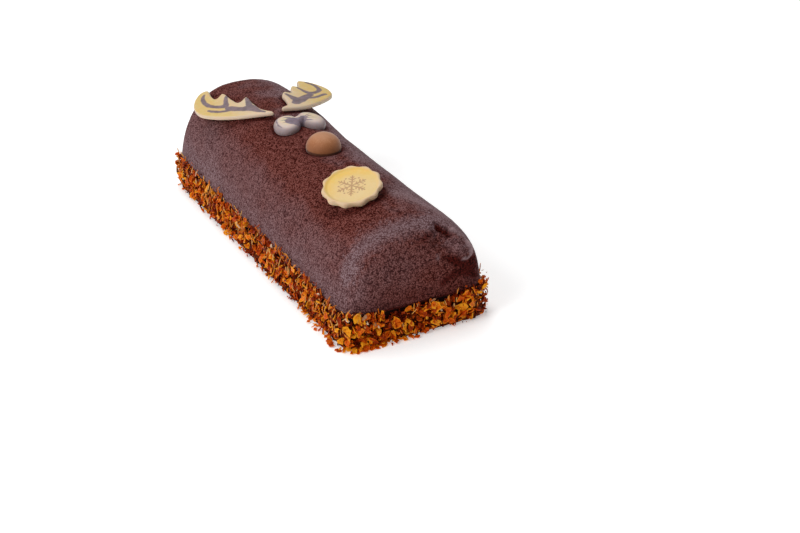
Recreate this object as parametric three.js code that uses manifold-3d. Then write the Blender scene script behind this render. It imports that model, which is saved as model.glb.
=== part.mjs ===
// A log-shaped ice cream cake. The velvet-coated log stands on its flat underside, with a band of
// caramel flakes pressed round its foot. Two antlers, a pair of eyes, a nose and a scalloped plaque,
// all moulded in chocolate, lie on its back.
// Millimetres. X runs across the log, Y along it from the front end to the far end, Z is up.
// The origin is the middle of the underside.
import * as THREE from "three";
import { mergeVertices } from "three/addons/utils/BufferGeometryUtils.js";
import Module from "manifold-3d";

const wasm = await Module();
wasm.setup();

// Clearance that separate pieces keep from each other, and the points on a line that test it.
const GAP = 0.3;
const REST_SAMPLES = 12;

// Vertices nearer than this are one vertex.
const MERGE_DISTANCE = 1e-4;

// The log: a superellipse section, a little higher at its far end, with a soft front shoulder.
const LOG_LENGTH = 219.5;
const LOG_WIDTH = 79.5;
const FRONT_HEIGHT = 57;
const BACK_HEIGHT = 61.4;
const SECTION_POWER = 2.58;
const PLAN_POWER = 16;
const FRONT_SHOULDER_POWER = 8;
const BACK_SHOULDER_POWER = 13;
const LOG_SEGMENTS_ROUND = 44;
const LOG_SEGMENTS_ALONG = 28;

// How closely the cross-sections crowd together towards the ends.
const STATION_POWER = 6;

// The knock on the upper right of the front end: a broad shallow hollow with a nick along its top.
const DENT_SEGMENTS_ROUND = 20;
const DENT_SEGMENTS_UP = 12;
const DENT_SCOOPS = [
  { centre: [17, -110.2, 45.6], radii: [13, 6, 9], turn: 0.35, pitch: -0.57 },
  { centre: [15, -104, 50.8], radii: [7, 3, 3.2], turn: 0.15, pitch: -0.9 },
];

// The bed of crushed flakes that thickens the foot of the log.
const BED_PROUD = 1.2;
const BED_HEIGHT = 14.5;
const BED_POWER = 4;
const BED_SEGMENTS_ROUND = 28;
const BED_SEGMENTS_ALONG = 16;
const FOOT_CORNER_RADIUS = 8;

// The caramel flakes. Each is a chip whose corners lie at uneven angles and distances.
const FLAKE_SEED = 29;
const FLAKE_THICKNESS = 1.2;
const FLAKE_CORNERS = 4;
const FLAKE_SIZE = { least: 6.2, most: 9.6 };
const FLAKE_CORNER_REACH = { least: 0.7, most: 1.2 };
const FLAKE_CORNER_STRAY = 0.5;
const FLAKE_NARROWING = 0.8;
const FLAKE_CURL = 0.02;
const FLAKE_LEAN = 0.5;
const FLAKE_LEAN_OUT = 0.12;

// Their rows round the foot, from the floor up. Along a row, a flake strays by a share of the pitch.
const ROW_STRAY = 0.35;
const FLAKE_ROWS = [
  { height: 2, proud: 1.5, pitch: 9.8, stray: 0.8 },
  { height: 6.6, proud: 1.4, pitch: 9.8, stray: 1.4 },
  { height: 11.4, proud: 1, pitch: 9.8, stray: 1.6 },
  { height: 15.4, proud: 0.2, pitch: 10, stray: 2.4 },
];

// The band climbs a little at the front right corner.
const CLIMB_HEIGHT = 3.5;
const CLIMB_REACH = 18;

// The antlers: flat plates with rounded edges. An outline is measured in the plate's own plane from
// its inner end, outwards from the ridge and then along the log, and runs from the inner end over
// the points of the tines and back along the smooth outer edge.
const ANTLER_THICKNESS = 2.6;
const ANTLER_EDGE = 0.7;
const ANTLER_DIVISIONS = 48;
const LEFT_ANTLER = {
  side: -1,
  inner: new THREE.Vector2(-7.2, 38.1),
  droop: THREE.MathUtils.degToRad(19),
  outline: [
    [0, 0],
    [3, 9.6],
    [3.6, 20.5],
    [3.4, 29.8],
    [8.6, 28],
    [10.1, 35.5],
    [11, 46.6],
    [16, 44.5],
    [16.6, 50.5],
    [15.6, 58.2],
    [19.6, 59.4],
    [24.6, 55.8],
    [28.1, 50.4],
    [30, 43.5],
    [29.4, 35.9],
    [24.9, 26.7],
    [16.9, 16],
    [8.1, 6.9],
  ],
};
const RIGHT_ANTLER = {
  side: 1,
  inner: new THREE.Vector2(-1.1, 42.6),
  droop: THREE.MathUtils.degToRad(5),
  outline: [
    [0, 0],
    [5.2, 4.1],
    [7.6, 11.5],
    [8.8, 19],
    [12.2, 23.4],
    [15.6, 21],
    [17.4, 26.4],
    [20.6, 31.4],
    [23.4, 29.6],
    [27.2, 38.2],
    [32.2, 35.2],
    [36.5, 27.8],
    [38.3, 19.7],
    [36.5, 12.1],
    [31.6, 7.4],
    [22.7, 2.1],
    [15.1, -0.9],
    [7.4, -1.6],
  ],
};

// The eyes: two rounded ovals side by side, which lean together and are joined by a short bridge.
const EYE_THICKNESS = 3.2;
const EYE_EDGE = 1.4;
const EYE_SKIRT = 3;
const EYE_EDGE_STEPS = 3;
const EYE_SEGMENTS = 22;
const EYE_LOBES = [
  { x: -6.4, y: 24.2, across: 7.1, along: 9.5, turn: -0.38, droop: -0.08 },
  { x: 1.4, y: 25.6, across: 3, along: 3, turn: 0, droop: 0 },
  { x: 7.9, y: 24.4, across: 6.2, along: 9.8, turn: 0.21, droop: 0.1 },
];

// The nose: a flattened dome.
const NOSE_CENTRE = new THREE.Vector2(-0.4, -7.8);
const NOSE_RADIUS = 9.2;
const NOSE_HEIGHT = 8;
const NOSE_SKIRT = 2;
const NOSE_STEPS = 7;
const NOSE_SEGMENTS = 30;

// The plaque: a scalloped disc with a raised rim.
const PLAQUE_CENTRE = new THREE.Vector2(-11.2, -62.1);
const PLAQUE_RADIUS = 15.4;
const PLAQUE_SCALLOPS = 11;
const PLAQUE_SCALLOP_DEPTH = 0.55;
const PLAQUE_POINTS = 66;
const PLAQUE_FIELD_RADIUS = 12;
const PLAQUE_FIELD_THICKNESS = 2.2;
const PLAQUE_RIM_THICKNESS = 3.1;
const PLAQUE_WELL_SEGMENTS = 36;
const PLAQUE_ROLL = THREE.MathUtils.degToRad(-13);
const PLAQUE_PITCH = THREE.MathUtils.degToRad(9);

// A repeatable source of random numbers between 0 and 1.
function seededRandom(seed) {
  let state = seed >>> 0;
  return () => {
    state = (state + 0x6d2b79f5) >>> 0;
    let mixed = Math.imul(state ^ (state >>> 15), 1 | state);
    mixed = (mixed + Math.imul(mixed ^ (mixed >>> 7), 61 | mixed)) ^ mixed;
    return ((mixed ^ (mixed >>> 14)) >>> 0) / 4294967296;
  };
}

function swing(amount, random) {
  return amount * (2 * random() - 1);
}

function between(range, random) {
  return THREE.MathUtils.lerp(range.least, range.most, random());
}

function signedPower(value, power) {
  return Math.sign(value) * Math.abs(value) ** power;
}

// The share of its full size that a superellipse has at a share of its half length.
function superellipse(share, power) {
  return Math.max(0, 1 - Math.min(1, Math.abs(share)) ** power) ** (1 / power);
}

// A closed geometry as a solid that can be joined and cut.
function solidOf(geometry) {
  const bare = geometry.clone();
  bare.deleteAttribute("normal");
  bare.deleteAttribute("uv");
  const merged = mergeVertices(bare, MERGE_DISTANCE);
  return new wasm.Manifold(
    new wasm.Mesh({
      numProp: 3,
      vertProperties: merged.attributes.position.array,
      triVerts: new Uint32Array(merged.index.array),
    }),
  );
}

// The largest body of a solid, with any hollow that joining has sealed inside it filled.
function largestBody(solid) {
  const bodies = solid.decompose();
  return bodies.reduce((most, body) => (body.volume() > most.volume() ? body : most));
}

function geometryOf(solid) {
  const mesh = solid.getMesh();
  const positions = new Float32Array(mesh.numVert * 3);
  for (let i = 0; i < mesh.numVert; i++) {
    const start = i * mesh.numProp;
    positions.set(mesh.vertProperties.subarray(start, start + 3), i * 3);
  }
  const geometry = new THREE.BufferGeometry();
  geometry.setAttribute("position", new THREE.BufferAttribute(positions, 3));
  geometry.setIndex(new THREE.BufferAttribute(mesh.triVerts, 1));
  geometry.computeVertexNormals();
  return geometry;
}

// Height of the ridge at a share of the log's half length, counted from its middle.
function ridgeHeight(share, grow = 0) {
  const power = share < 0 ? FRONT_SHOULDER_POWER : BACK_SHOULDER_POWER;
  const full = THREE.MathUtils.lerp(FRONT_HEIGHT, BACK_HEIGHT, (share + 1) / 2);
  return (full + grow) * superellipse(share, power);
}

// Height of the log's surface above a point of the floor.
function logTop(x, y) {
  const share = (2 * y) / LOG_LENGTH;
  const halfWidth = (LOG_WIDTH / 2) * superellipse(share, PLAN_POWER);
  return ridgeHeight(share) * superellipse(x / halfWidth, SECTION_POWER);
}

// The log's coat, grown outwards by a clearance. Its lower half is there to be cut away.
function logGeometry(grow) {
  const geometry = new THREE.SphereGeometry(1, LOG_SEGMENTS_ROUND, LOG_SEGMENTS_ALONG);
  const position = geometry.attributes.position;
  const point = new THREE.Vector3();
  for (let i = 0; i < position.count; i++) {
    point.fromBufferAttribute(position, i);
    const share = signedPower(point.y, 2 / STATION_POWER);
    const around = Math.atan2(point.z, point.x);
    const halfWidth = (LOG_WIDTH / 2 + grow) * superellipse(share, PLAN_POWER);
    const across = signedPower(Math.cos(around), 2 / SECTION_POWER);
    const up = signedPower(Math.sin(around), 2 / SECTION_POWER);
    const along = (LOG_LENGTH / 2 + grow) * share;
    position.setXYZ(i, halfWidth * across, along, ridgeHeight(share, grow) * up);
  }
  return geometry;
}

// The bed of crushed flakes: a low, boxy swelling round the foot.
function bedGeometry() {
  const geometry = new THREE.SphereGeometry(1, BED_SEGMENTS_ROUND, BED_SEGMENTS_ALONG);
  const position = geometry.attributes.position;
  const point = new THREE.Vector3();
  for (let i = 0; i < position.count; i++) {
    point.fromBufferAttribute(position, i);
    const share = signedPower(point.y, 2 / STATION_POWER);
    const around = Math.atan2(point.z, point.x);
    const size = superellipse(share, PLAN_POWER);
    position.setXYZ(
      i,
      (LOG_WIDTH / 2 + BED_PROUD) * size * signedPower(Math.cos(around), 2 / BED_POWER),
      (LOG_LENGTH / 2 + BED_PROUD) * share,
      BED_HEIGHT * size * signedPower(Math.sin(around), 2 / BED_POWER),
    );
  }
  return geometry;
}

// The line that the flakes follow: a rectangle with round corners.
function footPath(grow) {
  const halfX = LOG_WIDTH / 2 + grow;
  const halfY = LOG_LENGTH / 2 + grow;
  const radius = FOOT_CORNER_RADIUS + grow;
  const path = new THREE.Path();
  path.moveTo(halfX - radius, -halfY);
  path.absarc(halfX - radius, -halfY + radius, radius, -Math.PI / 2, 0);
  path.absarc(halfX - radius, halfY - radius, radius, 0, Math.PI / 2);
  path.absarc(-halfX + radius, halfY - radius, radius, Math.PI / 2, Math.PI);
  path.absarc(-halfX + radius, -halfY + radius, radius, Math.PI, 1.5 * Math.PI);
  path.closePath();
  return path;
}

// One flake: a thin chip with uneven corners, slightly curled.
function flakeGeometry(size, random) {
  const corners = [];
  for (let i = 0; i < FLAKE_CORNERS; i++) {
    const angle = (2 * Math.PI * (i + FLAKE_CORNER_STRAY * random())) / FLAKE_CORNERS;
    const reach = (size / 2) * between(FLAKE_CORNER_REACH, random);
    const corner = new THREE.Vector2(reach * Math.cos(angle), reach * Math.sin(angle) * FLAKE_NARROWING);
    corners.push(corner);
  }
  const geometry = new THREE.ExtrudeGeometry(new THREE.Shape(corners), {
    depth: FLAKE_THICKNESS,
    bevelEnabled: false,
  });
  geometry.translate(0, 0, -FLAKE_THICKNESS / 2);
  const position = geometry.attributes.position;
  for (let i = 0; i < position.count; i++) {
    const x = position.getX(i);
    position.setZ(i, position.getZ(i) + FLAKE_CURL * x * x);
  }
  return geometry;
}

// Where a flake sits: its flat side faces out from the log, leaning and turned at random.
function flakePlace(point, outward, row, random) {
  const up = new THREE.Vector3(0, 0, 1);
  const along = new THREE.Vector3().crossVectors(up, outward);
  const turn = new THREE.Matrix4().makeBasis(along, up, outward);
  const lean = new THREE.Matrix4().makeRotationFromEuler(
    new THREE.Euler(
      swing(FLAKE_LEAN, random) - FLAKE_LEAN_OUT,
      swing(FLAKE_LEAN, random),
      swing(Math.PI, random),
    ),
  );
  const place = turn.multiply(lean);
  const toCorner = Math.hypot(point.x - LOG_WIDTH / 2, point.y + LOG_LENGTH / 2);
  const nearness = Math.exp(-((toCorner / CLIMB_REACH) ** 2));
  const climb = (CLIMB_HEIGHT * nearness * row.height) / BED_HEIGHT;
  place.setPosition(point.x, point.y, row.height + climb + swing(row.stray, random));
  return place;
}

function flakeSolids() {
  const random = seededRandom(FLAKE_SEED);
  const solids = [];
  for (const row of FLAKE_ROWS) {
    const path = footPath(row.proud);
    const count = Math.round(path.getLength() / row.pitch);
    for (let i = 0; i < count; i++) {
      const share = (i + 0.5 + swing(ROW_STRAY, random)) / count;
      const point = path.getPointAt(share);
      const tangent = path.getTangentAt(share);
      const outward = new THREE.Vector3(tangent.y, -tangent.x, 0);
      const geometry = flakeGeometry(between(FLAKE_SIZE, random), random);
      geometry.applyMatrix4(flakePlace(point, outward, row, random));
      solids.push(solidOf(geometry));
    }
  }
  return solids;
}

function dentGeometry(scoop) {
  const geometry = new THREE.SphereGeometry(1, DENT_SEGMENTS_ROUND, DENT_SEGMENTS_UP);
  geometry.scale(...scoop.radii);
  geometry.rotateY(scoop.turn);
  geometry.rotateX(scoop.pitch);
  geometry.translate(...scoop.centre);
  return geometry;
}

// A block that holds everything under the floor.
function underFloor() {
  const size = 2 * LOG_LENGTH;
  const geometry = new THREE.BoxGeometry(size, size, size);
  geometry.translate(0, 0, -size / 2);
  return solidOf(geometry);
}

function logSolid() {
  let solid = solidOf(logGeometry(0));
  for (const scoop of DENT_SCOOPS) solid = solid.subtract(solidOf(dentGeometry(scoop)));
  solid = solid.add(solidOf(bedGeometry()));
  for (const flake of flakeSolids()) solid = solid.add(flake);
  return largestBody(solid.subtract(underFloor()));
}

// The height at a point of a tilted plate's underside that leaves a gap between plate and log.
// It looks along every line between two points of the plate's outline. slopeX and slopeY are the
// rises of the plate along X and Y.
function restHeight(outline, centre, slopeX, slopeY) {
  let highest = 0;
  for (const from of outline) {
    for (const to of outline) {
      for (let i = 0; i <= REST_SAMPLES; i++) {
        const x = THREE.MathUtils.lerp(from.x, to.x, i / REST_SAMPLES);
        const y = THREE.MathUtils.lerp(from.y, to.y, i / REST_SAMPLES);
        const rise = slopeX * (x - centre.x) + slopeY * (y - centre.y);
        highest = Math.max(highest, logTop(x, y) - rise);
      }
    }
  }
  return highest + GAP * Math.hypot(1, slopeX, slopeY);
}

function antlerMesh(name, antler, material) {
  const corners = antler.outline.map(([out, along]) => new THREE.Vector3(antler.side * out, along, 0));
  const curve = new THREE.CatmullRomCurve3(corners, true);
  const points = curve.getSpacedPoints(ANTLER_DIVISIONS).slice(0, ANTLER_DIVISIONS);
  const flat = points.map((point) => new THREE.Vector2(point.x, point.y));
  const geometry = new THREE.ExtrudeGeometry(new THREE.Shape(flat), {
    depth: ANTLER_THICKNESS - 2 * ANTLER_EDGE,
    bevelThickness: ANTLER_EDGE,
    bevelSize: ANTLER_EDGE,
    bevelOffset: -ANTLER_EDGE,
    bevelSegments: 1,
  });
  geometry.translate(0, 0, ANTLER_EDGE);
  const mesh = new THREE.Mesh(geometry, material);
  const droop = antler.side * antler.droop;
  const onLog = flat.map(
    (point) =>
      new THREE.Vector2(antler.inner.x + point.x * Math.cos(droop), antler.inner.y + point.y),
  );
  const height = restHeight(onLog, antler.inner, -Math.tan(droop), 0);
  mesh.name = name;
  mesh.position.set(antler.inner.x, antler.inner.y, height);
  mesh.rotation.y = droop;
  return mesh;
}

// A round disc with a rounded upper edge, stood on a skirt that the log's shape then cuts.
function eyeLobeGeometry(lobe) {
  const profile = [new THREE.Vector2(0, -EYE_SKIRT), new THREE.Vector2(1, -EYE_SKIRT)];
  const edge = EYE_EDGE / lobe.across;
  for (let i = 0; i <= EYE_EDGE_STEPS; i++) {
    const angle = (Math.PI / 2) * (i / EYE_EDGE_STEPS);
    const height = EYE_THICKNESS - EYE_EDGE * (1 - Math.sin(angle));
    profile.push(new THREE.Vector2(1 - edge * (1 - Math.cos(angle)), height));
  }
  profile.push(new THREE.Vector2(0, EYE_THICKNESS));
  const geometry = new THREE.LatheGeometry(profile, EYE_SEGMENTS);
  geometry.rotateX(Math.PI / 2);
  geometry.scale(lobe.across, lobe.along, 1);
  geometry.rotateZ(lobe.turn);
  geometry.rotateY(lobe.droop);
  geometry.translate(lobe.x, lobe.y, logTop(lobe.x, lobe.y));
  return geometry;
}

function eyesSolid(log) {
  const lobes = EYE_LOBES.map((lobe) => solidOf(eyeLobeGeometry(lobe)));
  const joined = lobes.reduce((all, lobe) => all.add(lobe));
  return largestBody(joined.subtract(log));
}

function noseSolid(log) {
  const profile = [new THREE.Vector2(0, -NOSE_SKIRT), new THREE.Vector2(NOSE_RADIUS, -NOSE_SKIRT)];
  for (let i = 0; i <= NOSE_STEPS; i++) {
    const angle = (Math.PI / 2) * (i / NOSE_STEPS);
    const radius = i === NOSE_STEPS ? 0 : NOSE_RADIUS * Math.cos(angle);
    profile.push(new THREE.Vector2(radius, NOSE_HEIGHT * Math.sin(angle)));
  }
  const geometry = new THREE.LatheGeometry(profile, NOSE_SEGMENTS);
  geometry.rotateX(Math.PI / 2);
  geometry.translate(NOSE_CENTRE.x, NOSE_CENTRE.y, logTop(NOSE_CENTRE.x, NOSE_CENTRE.y));
  return largestBody(solidOf(geometry).subtract(log));
}

function plaqueOutline() {
  const points = [];
  for (let i = 0; i < PLAQUE_POINTS; i++) {
    const angle = (2 * Math.PI * i) / PLAQUE_POINTS;
    const wave = PLAQUE_SCALLOP_DEPTH * Math.cos(PLAQUE_SCALLOPS * angle);
    const radius = PLAQUE_RADIUS - PLAQUE_SCALLOP_DEPTH + wave;
    points.push(new THREE.Vector2(radius * Math.cos(angle), radius * Math.sin(angle)));
  }
  return points;
}

function plaqueMesh(material) {
  const outline = plaqueOutline();
  const rim = new THREE.ExtrudeGeometry(new THREE.Shape(outline), {
    depth: PLAQUE_RIM_THICKNESS,
    bevelEnabled: false,
  });
  const well = new THREE.CylinderGeometry(
    PLAQUE_FIELD_RADIUS,
    PLAQUE_FIELD_RADIUS,
    PLAQUE_RIM_THICKNESS,
    PLAQUE_WELL_SEGMENTS,
  );
  well.rotateX(Math.PI / 2);
  well.translate(0, 0, PLAQUE_FIELD_THICKNESS + PLAQUE_RIM_THICKNESS / 2);
  const mesh = solidMesh("plaque", solidOf(rim).subtract(solidOf(well)), material);
  mesh.rotation.set(PLAQUE_PITCH, PLAQUE_ROLL, 0);
  const onLog = outline.map((point) => point.clone().add(PLAQUE_CENTRE));
  const slopeX = -Math.tan(PLAQUE_ROLL);
  const slopeY = Math.tan(PLAQUE_PITCH);
  mesh.position.set(
    PLAQUE_CENTRE.x,
    PLAQUE_CENTRE.y,
    restHeight(onLog, PLAQUE_CENTRE, slopeX, slopeY),
  );
  return mesh;
}

function solidMesh(name, solid, material) {
  const mesh = new THREE.Mesh(geometryOf(solid), material);
  mesh.name = name;
  return mesh;
}

function chocolate(colour) {
  return new THREE.MeshStandardMaterial({ color: colour, roughness: 0.55, metalness: 0 });
}

const coat = new THREE.MeshStandardMaterial({ color: 0x5a403c, roughness: 0.95, metalness: 0 });
const clearance = solidOf(logGeometry(GAP));

const cake = new THREE.Group();
cake.add(solidMesh("log", logSolid(), coat));
cake.add(antlerMesh("antler_left", LEFT_ANTLER, chocolate(0xe6c77e)));
cake.add(antlerMesh("antler_right", RIGHT_ANTLER, chocolate(0xe6c77e)));
cake.add(solidMesh("eyes", eyesSolid(clearance), chocolate(0xd9cdb4)));
cake.add(solidMesh("nose", noseSolid(clearance), chocolate(0xa8683c)));
cake.add(plaqueMesh(chocolate(0xecd489)));

export default cake;
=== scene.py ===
"""Looks of a log-shaped ice cream cake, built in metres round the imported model.

The velvet coat, the caramel flakes round the foot and the moulded chocolate pieces are fine meshes in
the model's own frame: X across the log, Y from the front end to the far end, Z up.
"""

import math

import bmesh
import bpy
import numpy as np
from mathutils import Matrix, Vector, noise
from mathutils.geometry import delaunay_2d_cdt


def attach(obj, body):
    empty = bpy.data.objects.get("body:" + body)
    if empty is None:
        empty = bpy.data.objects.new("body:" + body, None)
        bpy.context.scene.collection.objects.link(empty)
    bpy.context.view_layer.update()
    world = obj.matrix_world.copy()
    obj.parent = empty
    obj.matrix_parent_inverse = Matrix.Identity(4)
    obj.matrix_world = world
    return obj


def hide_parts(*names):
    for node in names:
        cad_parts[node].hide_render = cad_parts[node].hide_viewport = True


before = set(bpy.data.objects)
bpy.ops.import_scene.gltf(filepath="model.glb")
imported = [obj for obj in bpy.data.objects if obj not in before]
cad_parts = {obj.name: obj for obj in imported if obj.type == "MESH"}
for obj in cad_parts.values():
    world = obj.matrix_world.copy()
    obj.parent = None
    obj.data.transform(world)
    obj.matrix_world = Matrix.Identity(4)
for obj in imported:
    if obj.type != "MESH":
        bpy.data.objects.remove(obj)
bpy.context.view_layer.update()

MM = 0.001

# The log: a superellipse section, a little higher at its far end, with a soft front shoulder.
LOG_LENGTH = 219.5 * MM
LOG_WIDTH = 79.5 * MM
FRONT_HEIGHT = 57 * MM
BACK_HEIGHT = 61.4 * MM
SECTION_POWER = 2.58
PLAN_POWER = 16
FRONT_SHOULDER_POWER = 8
BACK_SHOULDER_POWER = 13
CAST_STEPS = 34
SLOPE_STEP = 0.05 * MM

# The coat: how finely it is modelled, where its lower edge lies and how that edge rolls under.
COAT_SPACING = 0.82 * MM
EDGE_HEIGHT = 18.6 * MM
EDGE_STRAY = 1.3 * MM
EDGE_WAVE = 17 * MM
ROLL_RADIUS = 2.6 * MM
ROLL_STEPS = 8
ROLL_ANGLE = math.radians(125)
ROLL_INNER = 3.5 * MM
WAVES = [
    {"feature": 34 * MM, "height": 0.26 * MM},
    {"feature": 11 * MM, "height": 0.12 * MM},
    {"feature": 2.3 * MM, "height": 0.09 * MM},
]

# The knock on the front end: a hollow with a nick over it, pits, and a ridge pushed up beside it.
DENT_SCOOPS = [
    {"centre": (17, -110.2, 45.6), "radii": (13, 6, 9), "turn": 0.35, "pitch": -0.57},
    {"centre": (15, -104, 50.8), "radii": (7, 3, 3.2), "turn": 0.15, "pitch": -0.9},
]
DENT_SOFTNESS = 0.4

# The right shoulder sags along the middle and stands proud at the front: places along the log, and how
# far the coat is pushed out there, in millimetres.
SHOULDER_PUSH = [(-110, 1.6), (-98, 1.3), (-82, 0), (-60, -0.9), (-25, -1.5), (20, -1.7), (48, 0), (110, 0)]
SHOULDER_ACROSS = (9 * MM, 26 * MM)
SHOULDER_RISE = (20 * MM, 38 * MM)

# Marks on the coat, most of them on its front end, in millimetres: how far each reaches, what it does, and
# the line or single place that it follows. Depth is how far it goes in, the grey cast is frost with painted
# sheen, the paler cast is a painted highlight, the dark cast is bare chocolate with painted shade, and rough
# is how uneven the coat is there.
COAT_MARKS = [
    # Pits of the nick, pressed in, with bare chocolate and painted shade in them.
    (1.6, {"depth": 1.7, "bare": 1.3}, [(14, -101, 50.8), (15.3, -102.6, 49.3)]),
    (1.6, {"depth": 1.5, "bare": 1.3}, [(17.1, -103.4, 48.1), (18.8, -104.2, 46.7)]),
    (1.6, {"depth": 0.6, "bare": 0.8}, [(5.8, -104.9, 49.1), (4, -106, 47.7)]),
    (1.3, {"depth": 0.4, "bare": 0.5}, [(1, -105.3, 48.6)]),
    (1.7, {"depth": 0.6, "bare": 0.9}, [(13.5, -109, 37.4), (18.5, -109, 36.0)]),
    (2.3, {"depth": 0.3, "bare": 0.85}, [(19.5, -109.2, 33.6), (25.8, -109, 30.6), (31.5, -107.3, 29.6)]),
    (2.8, {"depth": 0.15, "bare": 1}, [(12.5, -109.7, 24.4), (20, -109.5, 28.6), (28, -109.1, 25.8),
                                       (32, -108.4, 23)]),
    # The ridge pushed up beside the hollow, pale with frost and a painted highlight.
    (1.4, {"depth": -0.8, "frost_and_sheen": 0.9, "painted_highlight": 0.35}, [(21, -102.6, 46.8), (24.8, -103.2, 43.7),
                                                         (26.4, -104.9, 40.8), (28.3, -105.8, 37.3)]),
    (0.6, {"depth": -0.9, "frost_and_sheen": 1, "painted_highlight": 0.8}, [(26.4, -104.9, 40.8), (28.3, -105.8, 37.3),
                                                      (28.4, -107.1, 35.2), (25.5, -108.4, 34.2),
                                                      (23.5, -108.6, 35)]),
    (1.5, {"depth": 0.35, "bare": 1}, [(17, -109, 35.4), (25, -108.6, 33.2), (31.5, -106.8, 33.5)]),
    (2.4, {"depth": 0.2, "bare": 0.85}, [(24.5, -109, 31), (30, -107.9, 28.5)]),
    # Painted shade on the front's right.
    (2.4, {"bare": 0.35}, [(30, -107.5, 30.5), (35, -104.5, 33)]),
    (1.4, {"depth": 0.5, "bare": 0.7}, [(11, -103.6, 50), (8, -104.6, 48.3)]),
    (4.6, {"frost_and_sheen": 0.6}, [(19, -106.9, 43), (23, -106.8, 39.5)]),
    # Small lumps with painted highlights.
    (1.0, {"depth": -0.5, "frost_and_sheen": 0.7, "painted_highlight": 0.25}, [(9.9, -109.1, 38.2)]),
    (0.9, {"depth": -0.5, "frost_and_sheen": 0.8, "painted_highlight": 0.5}, [(20.4, -102.2, 47.4)]),
    # The front shoulder, pale with frost and painted sheen.
    (5.8, {"depth": -0.2, "frost_and_sheen": 0.95}, [(-33, -98.3, 36), (-29, -97.6, 43), (-23.5, -98, 47.8),
                                           (-15.8, -98.6, 51), (-6, -98.6, 52.8), (4.5, -98.4, 53),
                                           (11, -99.4, 52)]),
    (4.4, {"frost_and_sheen": 0.95}, [(12, -97.5, 53), (22, -98, 48.5), (30, -99, 42), (34, -100, 36)]),
    # The right shoulder: a painted sheen with a painted highlight.
    (4.6, {"frost_and_sheen": 1, "painted_highlight": 0.22}, [(12, -72, 56.4), (15.6, -81.4, 54.8), (22, -90, 50.8),
                                        (28, -96, 44)]),
    (5, {"rough": 0.55}, [(12.5, -105.2, 46.5), (18, -106.5, 43.5), (24.5, -107, 38.5)]),
    # Painted light on the front's right corner.
    (5, {"frost_and_sheen": 0.8}, [(36, -104, 24), (37.5, -101, 32)]),
    (7, {"frost_and_sheen": 0.45}, [(-35.4, -101.5, 29), (-34.5, -102, 36)]),
    (0.8, {"depth": -0.5, "frost_and_sheen": 0.5}, [(-35.9, -103.3, 25.5)]),
    (0.7, {"depth": -0.45, "frost_and_sheen": 0.4}, [(-34.4, -105.2, 27.2)]),
    # A pit with bare chocolate and painted shade.
    (1.1, {"depth": 0.5, "bare": 0.4}, [(-36.4, -88.7, 29.9)]),
]
MARK_WAVE = 1.5 * MM
MARK_RAGGED = 0.6
ROUGH_FEATURE = 2.1 * MM

# Painted shade darkens the coat round the foot of each moulded piece. The coat is pressed in round the nose
# and the eyes, and rises to hold the flat pieces where they lie close over it.
SEAT_WIDTH = 1.9 * MM
SEAT_DEPTH = 0.8 * MM
SEAT_REACH = (12 * MM, 36 * MM)
SEAT_SAMPLES = 64
BOND_GAP = (1.6 * MM, 3.0 * MM)
BOND_MARGIN = (0.6 * MM, 2.6 * MM)
BOND_SINK = 0.4 * MM

# Where the coat is frosted, with a painted sheen on its right side, and where it is darker, with painted
# shade on the front's right. Each share grows from 0 to 1 over its range, of a place along an axis in metres
# or else of a part of the outward normal.
FROST_WAVE = 16 * MM
FROST_LEFT_RANGE = (0.6, 1.0)
SHEEN_RIGHT_RANGE = (-0.06, 0.36)
FROST_LOW_RANGE = (-36 * MM, -23 * MM)
FROST_FAR_RANGE = (5 * MM, 70 * MM)
FROST_FACE_RANGE = (-16 * MM, 26 * MM)
FROST_CORNER_RANGE = (22 * MM, 40 * MM)
FACE_RANGE = (0.4, 0.8)
DARK_FACE_RANGE = (0.5, 0.9)
DARK_LOW_RANGE = (-29 * MM, -19 * MM)
SHADE_RIGHT_RANGE = (-8 * MM, 20 * MM)

# The dark crushed bed behind the flakes, with painted shade deepening towards its top under the coat.
BED_INSET = 1.9 * MM
BED_FLARE = 1.1 * MM
BED_SHADE_RANGE = (0.45, 0.8)
BED_SPACING = 1.4 * MM
BED_ROWS = 12
BED_WAVE = 3.2 * MM
BED_RELIEF = 0.8 * MM
FOOT_CORNER_RADIUS = 8 * MM

# The flakes. Lengths, thicknesses and reaches are in millimetres. A chip lies at a share of the band's
# height, and its outermost tip stands out from the log's side by its reach. Its lean is below 0 where it
# looks up. Spin turns it in its own plane, where half a turn over 2 is upright. Flank is the share of
# chips along the log's long sides, and gather keeps chips near the front left corner.
BROAD = {
    "count": 500, "length": (5.5, 9.5), "aspect": (0.42, 0.9), "thickness": (0.35, 0.6), "corners": 10,
    "crumple": 0.3, "rise": (0.14, 0.88), "reach": (0.2, 2.8), "lean": (-0.3, 0.45),
    "swing": 0.6, "spin": (0, 2), "tone": (0.2, 1.0), "flank": 0.58,
}
MIDDLING = {
    "count": 1950, "length": (2.8, 6.2), "aspect": (0.28, 0.85), "thickness": (0.3, 0.55), "corners": 7,
    "crumple": 0.3, "rise": (0.0, 0.97), "reach": (-0.6, 2.7), "lean": (-0.15, 0.65),
    "swing": 0.75, "spin": (0, 2), "tone": (0.05, 1.0), "flank": 0.74,
}
FALLEN = {
    "count": 60, "length": (2.6, 6.2), "aspect": (0.55, 0.95), "thickness": (0.35, 0.6), "corners": 9,
    "crumple": 0.14, "rise": (0.0, 0.08), "reach": (2.0, 4.6), "lean": (-1.3, 0.2),
    "swing": 0.25, "spin": (0, 2), "tone": (0.3, 0.95), "flank": 0.5, "gather": 30,
}
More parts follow.
